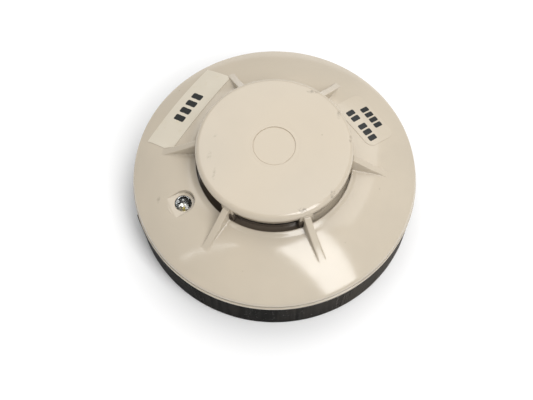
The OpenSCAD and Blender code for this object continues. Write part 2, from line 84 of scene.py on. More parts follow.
# The dome's outline: one arc, and the rounded shoulder at the rim
DOME_R = 55.0
RIM_ANGLE = 33.8
RIM_FILLET = 2.0
dome_cx = cover_r - RIM_FILLET - (DOME_R - RIM_FILLET) * math.sin(math.radians(RIM_ANGLE))
dome_cz = rim_z - (DOME_R - RIM_FILLET) * math.cos(math.radians(RIM_ANGLE))
shoulder_r = dome_cx + DOME_R * math.sin(math.radians(RIM_ANGLE))

# The air slot, its lip, and the cap over it
SLOPE_W = 25.6
LIP_H = 0.3
LIP_W = 1.9
SLOT_H = 4.6
SKIRT_H = 3.5
CAP_SIDE_H = 0.9
CAP_FILLET = 2.0
SKIRT_STEP = 0.9
RECESS_R = 7.9
RECESS_DEPTH = 0.2
slot_r = cover_r - SLOPE_W
lip_out_r = slot_r + LIP_W
lip_crest_r = slot_r + 0.4
lip_foot_r = lip_out_r + 0.7
cap_r = slot_r - 0.2
skirt_z1 = cap_top - CAP_FILLET - CAP_SIDE_H
skirt_z0 = skirt_z1 - SKIRT_H
lip_z = skirt_z0 - SLOT_H
skirt_r = cap_r - SKIRT_STEP
skirt_in_r = skirt_r - WALL * 0.75
cap_under = cap_top - WALL

FIN_COUNT = 6
FIN_T = 2.5
FIN_MARGIN = 11.0
FIN_SAG = 0.5
POST_W = 5.3
fin_tip_r = cover_r - FIN_MARGIN
fin_root_r = cap_r - 1
fin_root_z = skirt_z1 + CAP_SIDE_H * 0.4

# The LED's pocket and its lens
LED_ANGLE = 212.5
LED_INSET = 17.1
POCKET_DEPTH = 1.6
POCKET_R = 4.4
LENS_R = 3.1
LENS_PLAY = 0.1
led_r = cover_r - LED_INSET

# The base and the lock
TWIST_LUGS = 3
LUG_ANGLE0 = 90
LUG_SPAN = 14
LUG_T = 2.2
CABLE_R = 12.5
SEAM_W = 0.8
SEAM_ANGLE = 204
base_in_r = base_r - sheet_t
edge_in_r = base_in_r - 1.6
ring_out_r = base_in_r - 6
ring_in_r = ring_out_r - 2
lug_r = ring_in_r - 0.4
plug_r = lug_r - 3
plug_in_r = plug_r - 1.8
nest_z = edge_z0 - 0.8


def arc_z(r, radius):
    return dome_cz + math.sqrt(radius ** 2 - (r - dome_cx) ** 2)


def dome_z(r):
    return arc_z(r, DOME_R)


def dome_under_z(r):
    return arc_z(r, DOME_R - WALL)


def ramp(t):
    t = min(1.0, max(0.0, t))
    return t * t * (3 - 2 * t)


def slope_z(r):
    """Height of the slope with its lip, without the fins."""
    return dome_z(r) + LIP_H * ramp((lip_foot_r - r) / (lip_foot_r - lip_crest_r))


floor_seat_z = dome_under_z(lip_out_r) - 1.4
pocket_z = dome_z(led_r) - POCKET_DEPTH
lens_boss_z = dome_under_z(led_r) - 1.9


def polar(r, angle, z):
    a = math.radians(angle)
    return (r * math.cos(a), r * math.sin(a), z)


def on_plan(r, angle):
    """The same place seen from above."""
    return polar(r, angle, 0)[:2]


def mix(a, b, t):
    return a + (b - a) * t


lens_at = on_plan(led_r, LED_ANGLE)


# ---- Mesh helpers ----

def link(name, mesh):
    piece = bpy.data.objects.new(name, mesh)
    bpy.context.scene.collection.objects.link(piece)
    return piece


def make_mesh(name, points, faces):
    """A mesh object from points in millimetres. dress() turns it to metres when it is finished."""
    mesh = bpy.data.meshes.new(name)
    mesh.from_pydata(points, [], faces)
    mesh.update()
    return link(name, mesh)


def tidy_mesh(piece, angle=35.0, merge=0.0):
    """Outward normals, and smooth faces with sharp edges where the surface turns by more than angle."""
    bm = bmesh.new()
    bm.from_mesh(piece.data)
    if merge:
        bmesh.ops.remove_doubles(bm, verts=bm.verts, dist=merge)
        bmesh.ops.dissolve_degenerate(bm, edges=bm.edges, dist=merge)
    bmesh.ops.recalc_face_normals(bm, faces=bm.faces)
    limit = math.radians(angle)
    for face in bm.faces:
        face.smooth = True
    for edge in bm.edges:
        edge.smooth = len(edge.link_faces) == 2 and edge.calc_face_angle(0.0) < limit
    bm.to_mesh(piece.data)
    bm.free()


def dress(piece, body, slot, replaces=(), angle=35.0, merge=0.0, paint=None):
    """Gives a finished piece its body, and the finish of its slot in the record or another paint."""
    tidy_mesh(piece, angle, merge)
    piece.data.transform(Matrix.Scale(MM, 4))
    piece.data.materials.clear()
    piece.data.materials.append(paint or SLOT_PAINTS[slot])
    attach(piece, body)
    if replaces:
        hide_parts(*replaces)


def bridge(here, there, count):
    """Faces between two closed rows of count points, which start at those indices."""
    turned = [(j, (j + 1) % count) for j in range(count)]
    return [(here + j, here + k, there + k, there + j) for j, k in turned]


def loops_mesh(name, loops, wrap=False):
    """A skin over a row of loops of equal length, closed by flat ends or wrapped round to the first loop."""
    count = len(loops[0])
    points = [p for loop in loops for p in loop]
    faces = []
    rows = len(loops) if wrap else len(loops) - 1
    for i in range(rows):
        faces += bridge(i * count, (i + 1) % len(loops) * count, count)
    if not wrap:
        faces.append(tuple(range(count - 1, -1, -1)))
        faces.append(tuple(range((len(loops) - 1) * count, len(loops) * count)))
    piece = make_mesh(name, points, faces)
    tidy_mesh(piece)
    return piece


def revolve(name, profile, steps=192, at=(0.0, 0.0)):
    """A solid of revolution. The profile runs from axis to axis, or is a closed outline off the axis."""
    on_axis = profile[0][0] == 0.0
    rings = profile[1:-1] if on_axis else profile
    points, faces = [], []
    for r, z in rings:
        for j in range(steps):
            x, y, _ = polar(r, 360 * j / steps, 0)
            points.append((at[0] + x, at[1] + y, z))
    count = len(rings) if not on_axis else len(rings) - 1
    for i in range(count):
        faces += bridge(i * steps, (i + 1) % len(rings) * steps, steps)
    if on_axis:
        for (_, z), row in ((profile[0], 0), (profile[-1], len(rings) - 1)):
            pole = len(points)
            points.append((at[0], at[1], z))
            for j in range(steps):
                faces.append((row * steps + j, row * steps + (j + 1) % steps, pole))
    piece = make_mesh(name, points, faces)
    tidy_mesh(piece)
    return piece


def rod(name, radius, z0, z1, steps, at):
    """A plain cylinder from z0 to z1."""
    return revolve(name, [(0.0, z1), (radius, z1), (radius, z0), (0.0, z0)], steps, at)


def corner(r, z, radius, a0, a1, steps=5):
    """Points of a rounded corner about the centre (r, z), from angle a0 to a1 in degrees."""
    angles = [math.radians(mix(a0, a1, i / steps)) for i in range(steps + 1)]
    return [(r + radius * math.cos(a), z + radius * math.sin(a)) for a in angles]


def combine(target, tools, operation):
    """Joins or cuts target with each tool, and removes the tools."""
    for tool in tools:
        cut = target.modifiers.new("combine", "BOOLEAN")
        cut.operation = operation
        cut.solver = "MANIFOLD"
        cut.object = tool
        bpy.context.view_layer.update()
        graph = bpy.context.evaluated_depsgraph_get()
        made = bpy.data.meshes.new_from_object(target.evaluated_get(graph))
        target.modifiers.clear()
        old = target.data
        target.data = made
        made.name = target.name
        bpy.data.meshes.remove(old)
        bpy.data.meshes.remove(tool.data)
    return target


def place(x, y, angle, radius, z):
    """A local point (x outwards, y sideways) of a place at that angle and radius."""
    a = math.radians(angle)
    px, py = radius + x, y
    return (px * math.cos(a) - py * math.sin(a), px * math.sin(a) + py * math.cos(a), z)


def rounded_outline(x0, x1, width, radius, steps=4):
    """A rounded rectangle from x0 to x1, centred on the X axis."""
    half = width / 2
    points = []
    for cx, cy, a0 in ((x1 - radius, half - radius, 0), (x0 + radius, half - radius, 90),
                       (x0 + radius, radius - half, 180), (x1 - radius, radius - half, 270)):
        points += corner(cx, cy, radius, a0, a0 + 90, steps)
    return points


def prism(name, outline, levels, angle=0.0, radius=0.0):
    """A solid over an outline. Each level is a z and an inset that draws the outline in to its middle."""
    mx = sum(p[0] for p in outline) / len(outline)
    my = sum(p[1] for p in outline) / len(outline)
    reach = max(math.hypot(p[0] - mx, p[1] - my) for p in outline)
    loops = []
    for z, inset in levels:
        s = 1 - inset / reach
        loops.append([place(mix(mx, p[0], s), mix(my, p[1], s), angle, radius, z) for p in outline])
    return loops_mesh(name, loops)


# ---- Materials: one function for each finish ----

class Shader:
    """A Principled material, and short calls for the nodes that vary it. Coordinates are in metres."""

    def __init__(self, name, **settings):
        self.material = bpy.data.materials.new(name)
        self.material.use_nodes = True
        self.tree = self.material.node_tree
        self.bsdf = self.tree.nodes["Principled BSDF"]
        self.where = self.node("TexCoord").outputs["Object"]
        self.fill(self.bsdf, settings)

    def node(self, kind, **inputs):
        made = self.tree.nodes.new("ShaderNode" + kind)
        self.fill(made, inputs)
        return made

    def fill(self, node, inputs):
        for key, value in inputs.items():
            self.set(node, key.replace("_", " "), value)

    def set(self, node, socket, value):
        """Links a socket or sets its constant. A colour of three numbers gets an alpha of 1."""
        if isinstance(value, bpy.types.NodeSocket):
            self.tree.links.new(value, node.inputs[socket])
        else:
            if isinstance(value, tuple) and len(value) == 3 and len(node.inputs[socket].default_value) == 4:
                value = (*value, 1.0)
            node.inputs[socket].default_value = value

    def stretched(self, scale, offset=(0, 0, 0)):
        """The coordinates, scaled on each axis."""
        return self.node("Mapping", Vector=self.where, Scale=scale, Location=offset).outputs["Vector"]

    def noise(self, scale, detail=2.0, roughness=0.5, vector=None, distortion=0.0):
        return self.node("TexNoise", Vector=vector or self.where, Scale=scale, Detail=detail,
                         Roughness=roughness, Distortion=distortion).outputs["Fac"]

    def cells(self, scale, vector=None, feature="F1"):
        made = self.node("TexVoronoi", Vector=vector or self.where, Scale=scale)
        made.feature = feature
        return made

    def math(self, operation, a, b=0.0):
        made = self.node("Math")
        made.operation = operation
        self.set(made, 0, a)
        self.set(made, 1, b)
        return made.outputs[0]

    def plus(self, a, b):
        return self.math("ADD", a, b)

    def times(self, product, *others):
        for value in others:
            product = self.math("MULTIPLY", product, value)
        return product

    def between(self, value, low, high, to_low=0.0, to_high=1.0):
        """value mapped smoothly from low..high to to_low..to_high, and held outside that range."""
        made = self.node("MapRange", Value=value, From_Min=low, From_Max=high, To_Min=to_low, To_Max=to_high)
        made.interpolation_type = "SMOOTHSTEP"
        return made.outputs["Result"]

    def across(self, value, low, high):
        """Rises from 0 to 1 between two places in millimetres."""
        return self.between(value, low * MM, high * MM)

    def uneven(self, scale, detail, low, high):
        """Noise spread over low..high."""
        return self.between(self.noise(scale, detail), 0.3, 0.7, low, high)

    def blend(self, a, b, factor):
        """A mix of two colours. The Mix node's colour sockets are 6 and 7, and its result is output 2."""
        made = self.node("Mix")
        made.data_type = "RGBA"
        for socket, value in ((0, factor), (6, a), (7, b)):
            self.set(made, socket, value)
        return made.outputs[2]

    def mottle(self, a, b, value, low=0.35, high=0.65):
        return self.blend(a, b, self.between(value, low, high))

    def axis(self, index, vector=None):
        return self.node("SeparateXYZ", Vector=vector or self.where).outputs[index]

    def radius(self):
        """Distance from the object's axis."""
        x, y = self.axis(0), self.axis(1)
        return self.math("SQRT", self.plus(self.times(x, x), self.times(y, y)))

    def turn(self):
        """Angle round the object's axis, in radians."""
        return self.math("ARCTAN2", self.axis(1), self.axis(0))

    def around(self, turn_scale, radius_scale, z_scale):
        """Coordinates that run round the axis, outwards and up."""
        x, y = self.times(self.turn(), turn_scale), self.times(self.radius(), radius_scale)
        return self.node("CombineXYZ", X=x, Y=y, Z=self.times(self.axis(2), z_scale)).outputs[0]

    def near(self, point, size):
        """1 at a point in millimetres, falling to 0 at the ellipsoid with those half sizes."""
        made = self.node("VectorMath")
        made.operation = "DISTANCE"
        scale = tuple(1 / (s * MM) for s in size)
        self.set(made, 0, self.stretched(scale))
        self.set(made, 1, tuple(p * MM * s for p, s in zip(point, scale)))
        return self.between(made.outputs["Value"], 1.0, 0.25)

    def bump(self, height, depth):
        """Surface relief of that depth in millimetres."""
        relief = self.node("Bump", Height=height, Distance=depth * MM, Strength=1.0)
        self.set(self.bsdf, "Normal", relief.outputs["Normal"])

    def finish(self, colour, rough):
        self.fill(self.bsdf, {"Base_Color": colour, "Roughness": rough})
        return self.material


# Rubbed places: middle, half sizes and strength. They sit on the cap's edge and on the slope.
SCUFFS = [
    (polar(27.6, -62, cap_top - 0.3), (2.4, 1.2, 1.0), 0.88),
    (polar(28.2, -36, cap_top - 0.8), (1.2, 3.0, 1.4), 0.72),
    (polar(28.2, 12, cap_top - 0.6), (0.8, 2.6, 1.4), 0.64),
    (polar(27.4, 35, cap_top - 0.4), (1.0, 2.8, 1.2), 0.64),
    (polar(27.0, 64, cap_top - 0.4), (3.0, 1.0, 1.2), 0.80),
    (polar(24.0, 196, cap_top), (1.2, 2.6, 1.0), 0.22),
    (polar(24.5, 214, cap_top), (1.0, 3.4, 1.0), 0.26),
    (polar(22.0, 176, cap_top), (1.0, 1.4, 1.0), 0.26),
    (polar(46.0, 205, dome_z(46.0)), (1.0, 2.2, 1.0), 0.32),
]


def cover_plastic(name, scuffs=True):
    """Glossy cream ABS: yellowed patches, fine specks, painted shade in the slot, on the skirt and under the
    rim, and scuffs.
    """
    s = Shader(name, Specular_IOR_Level=0.6)
    r, z = s.radius(), s.axis(2)
    colour = s.mottle((0.535, 0.468, 0.372), (0.508, 0.446, 0.356), s.noise(38, 3, 0.55))
    warm = s.between(s.noise(16, 2, 0.5, s.stretched((1, 1, 1), (0.3, 0.1, 0.7))), 0.45, 0.7)
    colour = s.blend(colour, (0.537, 0.458, 0.350), s.times(warm, 0.5))
    spots = s.cells(170)
    rare = s.between(s.axis(0, spots.outputs["Color"]), 0.80, 0.82)
    dot = s.between(spots.outputs["Distance"], 0.075, 0.03)
    colour = s.blend(colour, (0.20, 0.17, 0.12), s.times(rare, dot, 0.35))

    # Painted shade: thick in the slot, thin on the skirt over it, and little on the right side, where the
    # light falls in
    shaded_side = s.between(s.math("ABSOLUTE", s.plus(s.turn(), 0.3)), 0.60, 0.78)
    slot = s.times(s.across(r, slot_r + 0.6, slot_r + 0.1), s.across(z, skirt_z0 + 0.2, skirt_z0 - 0.6))
    colour = s.blend(colour, (0.070, 0.050, 0.036), s.times(slot, shaded_side, 0.9))
    skirt = s.times(s.across(r, skirt_r + 0.7, skirt_r + 0.2), s.across(z, skirt_z1 + 0.5, skirt_z1 - 0.7))
    colour = s.blend(colour, (0.170, 0.138, 0.106), s.times(skirt, shaded_side, 0.45))
    # Painted shadow: a dark line along the lower edge of the rim, above the housing's pale edge
    gap = s.times(s.across(z, rim_z + 0.25, rim_z - 0.05), s.across(z, edge_z1 + 0.1, edge_z1 + 0.4),
                  s.across(r, cover_r - 2, cover_r - 1))
    colour = s.blend(colour, (0.050, 0.044, 0.038), s.times(gap, 0.8))

    hair = s.noise(1.0, 2, 0.5, s.stretched((2600, 90, 300)), 0.4)
    rough = s.between(s.noise(210, 4, 0.6), 0.3, 0.7, 0.09, 0.15)
    rough = s.plus(rough, s.between(hair, 0.66, 0.74, 0.0, 0.06))
    if scuffs:
        broken = s.between(s.noise(900, 4, 0.7), 0.42, 0.62)
        for point, size, strength in SCUFFS:
            mark = s.times(s.near(point, size), broken, strength)
            colour = s.blend(colour, (0.13, 0.11, 0.085), mark)
            rough = s.plus(rough, s.times(mark, 0.4))
    s.bump(s.plus(s.times(s.noise(2400, 2), 0.15), s.noise(170, 3, 0.55)), 0.005)
    return s.finish(colour, rough)


def screen_wire():
    """Blackened fine wire with worn brown crowns."""
    s = Shader("black_wire", Metallic=0.6)
    colour = s.mottle((0.030, 0.024, 0.018), (0.085, 0.062, 0.040), s.noise(700, 3), 0.5, 0.7)
    return s.finish(colour, s.uneven(1500, 2, 0.38, 0.6))


def dark_steel():
    """Dark zinc plate: fine streaks up the band and straight over the back, blotches, bright rubs, and
    painted light on the +X side.
    """
    s = Shader("dark_zinc", Metallic=0.9, Specular_Tint=(0.2, 0.2, 0.2))
    plate = s.across(s.axis(2), sheet_t + 0.5, sheet_t)
    up = s.times(s.noise(1.0, 4, 0.7, s.around(110, 40, 30)), s.math("SUBTRACT", 1.0, plate))
    streak = s.plus(up, s.times(s.noise(1.0, 4, 0.7, s.stretched((60, 1400, 60))), plate))
    blotch = s.noise(150, 4, 0.6, distortion=0.6)
    colour = s.mottle((0.020, 0.020, 0.019), (0.095, 0.092, 0.088), streak, 0.34, 0.74)
    colour = s.blend(colour, (0.060, 0.053, 0.046), s.between(blotch, 0.42, 0.70, 0.0, 0.5))
    # Painted light: the +X side is painted lighter than the other side
    colour = s.blend(colour, (0.190, 0.168, 0.146), s.times(s.across(s.axis(0), 5, 45), 0.5))
    rub = s.times(s.between(s.noise(900, 3, 0.7), 0.60, 0.72), s.between(s.noise(60), 0.45, 0.6), 0.6)
    colour = s.blend(colour, (0.24, 0.23, 0.22), rub)
    s.bump(s.plus(streak, s.times(blotch, 0.7)), 0.02)
    rough = s.plus(s.between(streak, 0.3, 0.7, 0.34, 0.5), s.between(blotch, 0.4, 0.7, 0.0, 0.12))
    return s.finish(colour, rough)


def bright_zinc():
    """Bright zinc plate with a faint bluish bloom."""
    s = Shader("bright_zinc", Metallic=1.0)
    s.bump(s.noise(1800, 3), 0.008)
    colour = s.mottle((0.60, 0.60, 0.58), (0.44, 0.46, 0.50), s.noise(420, 3))
    return s.finish(colour, s.uneven(800, 3, 0.22, 0.4))


def brass():
    """Rolled brass, a little dulled."""
    s = Shader("rolled_brass", Metallic=1.0)
    s.bump(s.noise(1.0, 3, 0.6, s.stretched((2500, 300, 300))), 0.006)
    colour = s.mottle((0.66, 0.48, 0.20), (0.48, 0.34, 0.15), s.noise(300, 4), 0.4, 0.7)
    return s.finish(colour, s.uneven(700, 3, 0.24, 0.42))


def spring_brass():
    """Nickel-washed contact brass, greyer in patches."""
    s = Shader("contact_brass", Metallic=1.0)
    colour = s.mottle((0.62, 0.52, 0.30), (0.55, 0.50, 0.40), s.noise(220, 3))
    return s.finish(colour, s.uneven(900, 3, 0.2, 0.36))


def tinned():
    """Tinned copper, and the LED's silver-plated lead frame."""
    s = Shader("tinned_lead", Metallic=1.0)
    colour = s.mottle((0.80, 0.79, 0.76), (0.62, 0.61, 0.57), s.noise(900, 3), 0.4)
    return s.finish(colour, s.uneven(1500, 2, 0.16, 0.34))


def carrier_plastic():
    """Satin cream moulding of the base's inside."""
    s = Shader("satin_cream", Specular_IOR_Level=0.4)
    s.bump(s.noise(2400, 3, 0.6), 0.015)
    colour = s.mottle((0.46, 0.41, 0.33), (0.42, 0.38, 0.31), s.noise(60, 3))
    return s.finish(colour, s.uneven(300, 3, 0.4, 0.55))


def board_green():
    """Solder mask over copper tracks that run as faint raised lines."""
    s = Shader("solder_mask", Specular_IOR_Level=0.5)
    track = s.cells(330, s.stretched((1, 0.35, 1)), "DISTANCE_TO_EDGE").outputs["Distance"]
    line = s.between(track, 0.10, 0.05)
    s.bump(line, 0.02)
    return s.finish(s.blend((0.010, 0.085, 0.030), (0.022, 0.150, 0.055), line), s.uneven(300, 2, 0.22, 0.34))


def chip_black():
    """Black moulded epoxy with a fine sanded skin."""
    s = Shader("chip_epoxy", Specular_IOR_Level=0.4)
    s.bump(s.noise(5000), 0.01)
    colour = s.mottle((0.018, 0.018, 0.020), (0.030, 0.029, 0.028), s.noise(1400, 3), 0.4, 0.6)
    return s.finish(colour, s.uneven(900, 2, 0.5, 0.65))


def can_sleeve():
    """Brushed can with a blue cast."""
    s = Shader("can_sleeve", Metallic=0.8)
    ring = s.noise(1.0, 3, 0.6, s.stretched((60, 60, 5000)))
    colour = s.mottle((0.30, 0.33, 0.42), (0.42, 0.44, 0.50), ring)
    return s.finish(colour, s.between(ring, 0.3, 0.7, 0.24, 0.4))


def bead_resin():
    """Glossy blue-black resin."""
    s = Shader("bead_resin", Specular_IOR_Level=0.6)
    colour = s.mottle((0.010, 0.011, 0.016), (0.022, 0.020, 0.024), s.noise(900, 3), 0.4, 0.6)
    return s.finish(colour, s.uneven(1300, 2, 0.10, 0.2))


def led_resin():
    """Pale resin of the LED's body, under the lens."""
    s = Shader("led_resin", Specular_IOR_Level=0.6)
    colour = s.mottle((0.62, 0.64, 0.60), (0.46, 0.50, 0.48), s.noise(700), 0.4, 0.6)
    return s.finish(colour, s.uneven(1200, 2, 0.08, 0.18))


def clear_resin():
    """Clear polished resin of the indicator lens, with a few fine handling marks."""
    s = Shader("clear_resin", IOR=1.50, Transmission_Weight=1.0)
    colour = s.mottle((0.96, 0.97, 0.96), (0.90, 0.92, 0.91), s.noise(500), 0.4, 0.7)
    return s.finish(colour, s.between(s.noise(1500, 3), 0.55, 0.75, 0.01, 0.06))


def sleeve_black():
    """Black light-tight sleeve round the lens."""
    s = Shader("black_sleeve", Specular_IOR_Level=0.5)
    colour = s.mottle((0.012, 0.014, 0.013), (0.022, 0.024, 0.022), s.noise(1200), 0.4, 0.6)
    return s.finish(colour, s.uneven(1500, 2, 0.25, 0.4))


def led_die():
    """Yellow phosphor on the LED's die."""
    s = Shader("led_phosphor", Specular_IOR_Level=0.4)
    colour = s.mottle((0.78, 0.62, 0.10), (0.62, 0.52, 0.16), s.noise(2500), 0.4, 0.6)
    return s.finish(colour, s.uneven(2500, 2, 0.4, 0.6))


def tape_paper():
    """Satin label tape, a little lighter than the cover, with faint fibres and yellowed spots."""
    s = Shader("label_tape", Specular_IOR_Level=0.35)
    s.bump(s.noise(1500, 3, 0.6), 0.01)
    colour = s.mottle((0.635, 0.580, 0.480), (0.612, 0.557, 0.457), s.noise(90, 3))
    stain = s.between(s.noise(260, 3, 0.6), 0.58, 0.72)
    colour = s.blend(colour, (0.56, 0.48, 0.33), s.times(stain, 0.35))
    return s.finish(colour, s.uneven(400, 3, 0.42, 0.56))


def clear_film():
    """Clear sticker film: nearly the cover's colour, with a glossier skin and small bubbles of air."""
    s = Shader("clear_film", Specular_IOR_Level=0.5)
    few = s.between(s.noise(130), 0.58, 0.66)
    bubble = s.times(s.between(s.cells(420).outputs["Distance"], 0.20, 0.12), few)
    s.bump(s.plus(s.noise(180), s.times(bubble, 0.8)), 0.012)
    colour = s.mottle((0.548, 0.483, 0.388), (0.535, 0.468, 0.372), s.noise(70, 3))
    colour = s.blend(colour, (0.60, 0.545, 0.455), s.times(bubble, 0.5))
    return s.finish(colour, s.uneven(500, 2, 0.14, 0.24))


def print_ink():
    """Black printing with slightly uneven cover."""
    s = Shader("print_ink", Specular_IOR_Level=0.4)
    colour = s.mottle((0.012, 0.014, 0.014), (0.045, 0.045, 0.042), s.noise(2200, 3, 0.7), 0.55, 0.75)
    return s.finish(colour, s.uneven(1500, 2, 0.3, 0.45))


def floor_paint():
    """Plain pale floor with the least tonal drift."""
    s = Shader("floor_paint", Specular_IOR_Level=0.15)
    colour = s.mottle((0.93, 0.93, 0.93), (0.91, 0.91, 0.912), s.noise(2.0))
    return s.finish(colour, s.uneven(5.0, 2, 0.8, 0.9))


SLOT_PAINTS = {
    "cover_plastic": cover_plastic("cream_abs"),
    "screen_mesh": screen_wire(),
    "chamber_plastic": cover_plastic("cream_inner", False),
    "bead_glass": bead_resin(),
    "tinned_wire": tinned(),
    "board_laminate": board_green(),
    "chip_body": chip_black(),
    "capacitor_can": can_sleeve(),
    "led_body": led_resin(),
    "lens_clear": clear_resin(),
    "contact_metal": spring_brass(),
    "plated_steel": bright_zinc(),
    "tape_paper": tape_paper(),
    "sticker_film": clear_film(),
    "base_steel": dark_steel(),
    "carrier_plastic": carrier_plastic(),
    "screw_brass": brass(),
}

# Every CAD node gets its slot's finish; the nodes with a better piece are hidden below.
for part in frame["record"]["subparts"]:
    node = frame["nodes"][part["node"]]
    node.data.materials.clear()
    node.data.materials.append(SLOT_PAINTS[part["material_slot"]])


# ---- Front cover ----

# A fin's rounded edge, its draft and the fillet at its root, then mesh lines that lie clear of it
FIN_EDGE = 0.35
FIN_DRAFT = 0.08
FIN_ROOT = 0.5
FIN_CLEAR = [2.1, 2.5, 3.1]
half_fin = FIN_T / 2
fin_in_r = fin_root_r - 0.2
fin_low_z = lip_z - 1.0

# The lip's rounded edge, and how far the rim is drawn in so that the pale edge shows below it
LIP_EDGE = 0.35
RIM_TUCK = 0.22
crest_z = slope_z(lip_crest_r)

# Mesh rows where a fin crosses the slot: the last that runs in, the last that rises, and their number
REACH_IN = 2
REACH_UP = 7
REACH_ROWS = 13


def fin_crest(r):
    t = (r - fin_root_r) / (fin_tip_r - fin_root_r)
    end_z = dome_z(fin_tip_r) - 0.2
    return mix(fin_root_z, end_z, t) - FIN_SAG * 4 * t * (1 - t)


def fin_rise(r, side):
    """How far a fin stands over the slope at radius r and that distance from its middle plane."""
    tip_centre = fin_tip_r - half_fin
    off = abs(side) if r <= tip_centre else math.hypot(side, r - tip_centre)
    tall = fin_crest(r) - slope_z(r)
    if tall <= 0 or off >= half_fin + FIN_DRAFT + FIN_ROOT:
        return 0.0
    share = min(1.0, tall / (FIN_EDGE + FIN_ROOT))
    x = off - half_fin
    if x <= -FIN_EDGE:
        return tall
    if x <= 0:
        return tall - share * (FIN_EDGE - math.sqrt(max(0.0, FIN_EDGE ** 2 - (x + FIN_EDGE) ** 2)))
    if x <= FIN_DRAFT:
        return mix(tall - share * FIN_EDGE, share * FIN_ROOT, x / FIN_DRAFT)
    y = FIN_ROOT - (x - FIN_DRAFT)
    return share * (FIN_ROOT - math.sqrt(max(0.0, FIN_ROOT ** 2 - y ** 2)))


def fin_offsets():
    """Distances from a fin's middle plane at which the cover's mesh has lines."""
    bends = [math.radians(15 * i) for i in range(7)]
    edge = [half_fin - FIN_EDGE + FIN_EDGE * math.sin(a) for a in bends]
    root = [half_fin + FIN_DRAFT + FIN_ROOT * (1 - math.cos(a)) for a in bends]
    out = [0.0, 0.45] + edge + root + FIN_CLEAR
    return [-v for v in out[:0:-1]] + out


def cover_columns():
    """(fin number, side distance, None) near a fin, or (fin number, None, share) between two fins."""
    offsets, fine = fin_offsets(), 42
    columns = []
    for fin in range(FIN_COUNT):
        columns += [(fin, v, None) for v in offsets]
        columns += [(fin, None, (i + 1) / (fine + 1)) for i in range(fine)]
    return columns


def column_angle(column, r):
    fin, side, share = column
    turn = 360 / FIN_COUNT
    reach = math.degrees(math.asin(fin_offsets()[-1] / r))
    if side is not None:
        return fin * turn + math.degrees(math.asin(side / r))
    return fin * turn + mix(reach, turn - reach, share)


def cover_rows():
    """The slope's closed outline as (r, z, kind): over the top, down the rim, back under and up the slot."""
    rows = []
    r = lip_crest_r
    while r < shoulder_r - 0.3:
        rows.append((r, None, "top"))
        r += 0.3 if r < lip_foot_r + 0.4 else 0.45 if r < fin_tip_r + 0.6 else 0.8
    rows.append((shoulder_r, None, "top"))
    fillet_r = cover_r - RIM_FILLET
    rim = corner(fillet_r, rim_z, RIM_FILLET, 90 - RIM_ANGLE, 0, 12)[1:]
    rim += corner(cover_r - 0.2, cover_z0 + 0.2, 0.2, 0, -90, 4)
    rows += [(a - RIM_TUCK * ramp((a - rim[0][0]) / (cover_r - rim[0][0])), b, "skin") for a, b in rim]
    inner_r = cover_r - WALL
    rows += [(a, b, "skin") for a, b in corner(inner_r + 0.2, cover_z0 + 0.2, 0.2, -90, -180, 3)]
    steps = 26
    for i in range(steps + 1):
        r = mix(inner_r, lip_out_r, i / steps)
        rows.append((r, dome_under_z(r), "skin"))
    rows += [(lip_out_r, floor_seat_z, "skin"), (slot_r, floor_seat_z, "skin")]
    rows += [(slot_r, mix(floor_seat_z, fin_low_z, i / 3), "skin") for i in (1, 2, 3)]
    rows += [(i, None, "reach") for i in range(1, REACH_ROWS)]
    rows += [(a, b, "edge") for a, b in corner(slot_r + LIP_EDGE, crest_z - LIP_EDGE, LIP_EDGE, 180, 100, 4)]
    return rows


def reach_point(index, side):
    """Where a fin crosses the slot: its outline runs in under the cap, up and back out along the crest."""
    edge_z = mix(fin_low_z, crest_z - LIP_EDGE, index / REACH_ROWS)
    if side is None or abs(side) > half_fin + FIN_DRAFT / 2:
        return slot_r, edge_z
    if index <= REACH_IN:
        return mix(slot_r, fin_in_r, index / REACH_IN), fin_low_z
    if index <= REACH_UP:
        return fin_in_r, mix(fin_low_z, fin_crest(fin_in_r), (index - REACH_IN) / (REACH_UP - REACH_IN))
    r = mix(fin_in_r, slot_r, (index - REACH_UP) / (REACH_ROWS - REACH_UP))
    drop = FIN_EDGE - math.sqrt(max(0.0, FIN_EDGE ** 2 - max(0.0, abs(side) - half_fin + FIN_EDGE) ** 2))
    return r, fin_crest(r) - drop


def slope_mesh():
    columns = cover_columns()
    loops = []
    for a, b, kind in cover_rows():
        loop = []
        for column in columns:
            side = column[1]
            r, z = a, b
            if kind == "top":
                z = slope_z(r) + (fin_rise(r, side) if side is not None else 0.0)
            elif kind == "reach":
                r, z = reach_point(a, side)
            elif kind == "edge" and side is not None:
                z = b + fin_rise(r, side)
            loop.append(polar(r, column_angle(column, r), z))
        loops.append(loop)
    return loops_mesh("front_cover_shell", loops, wrap=True)


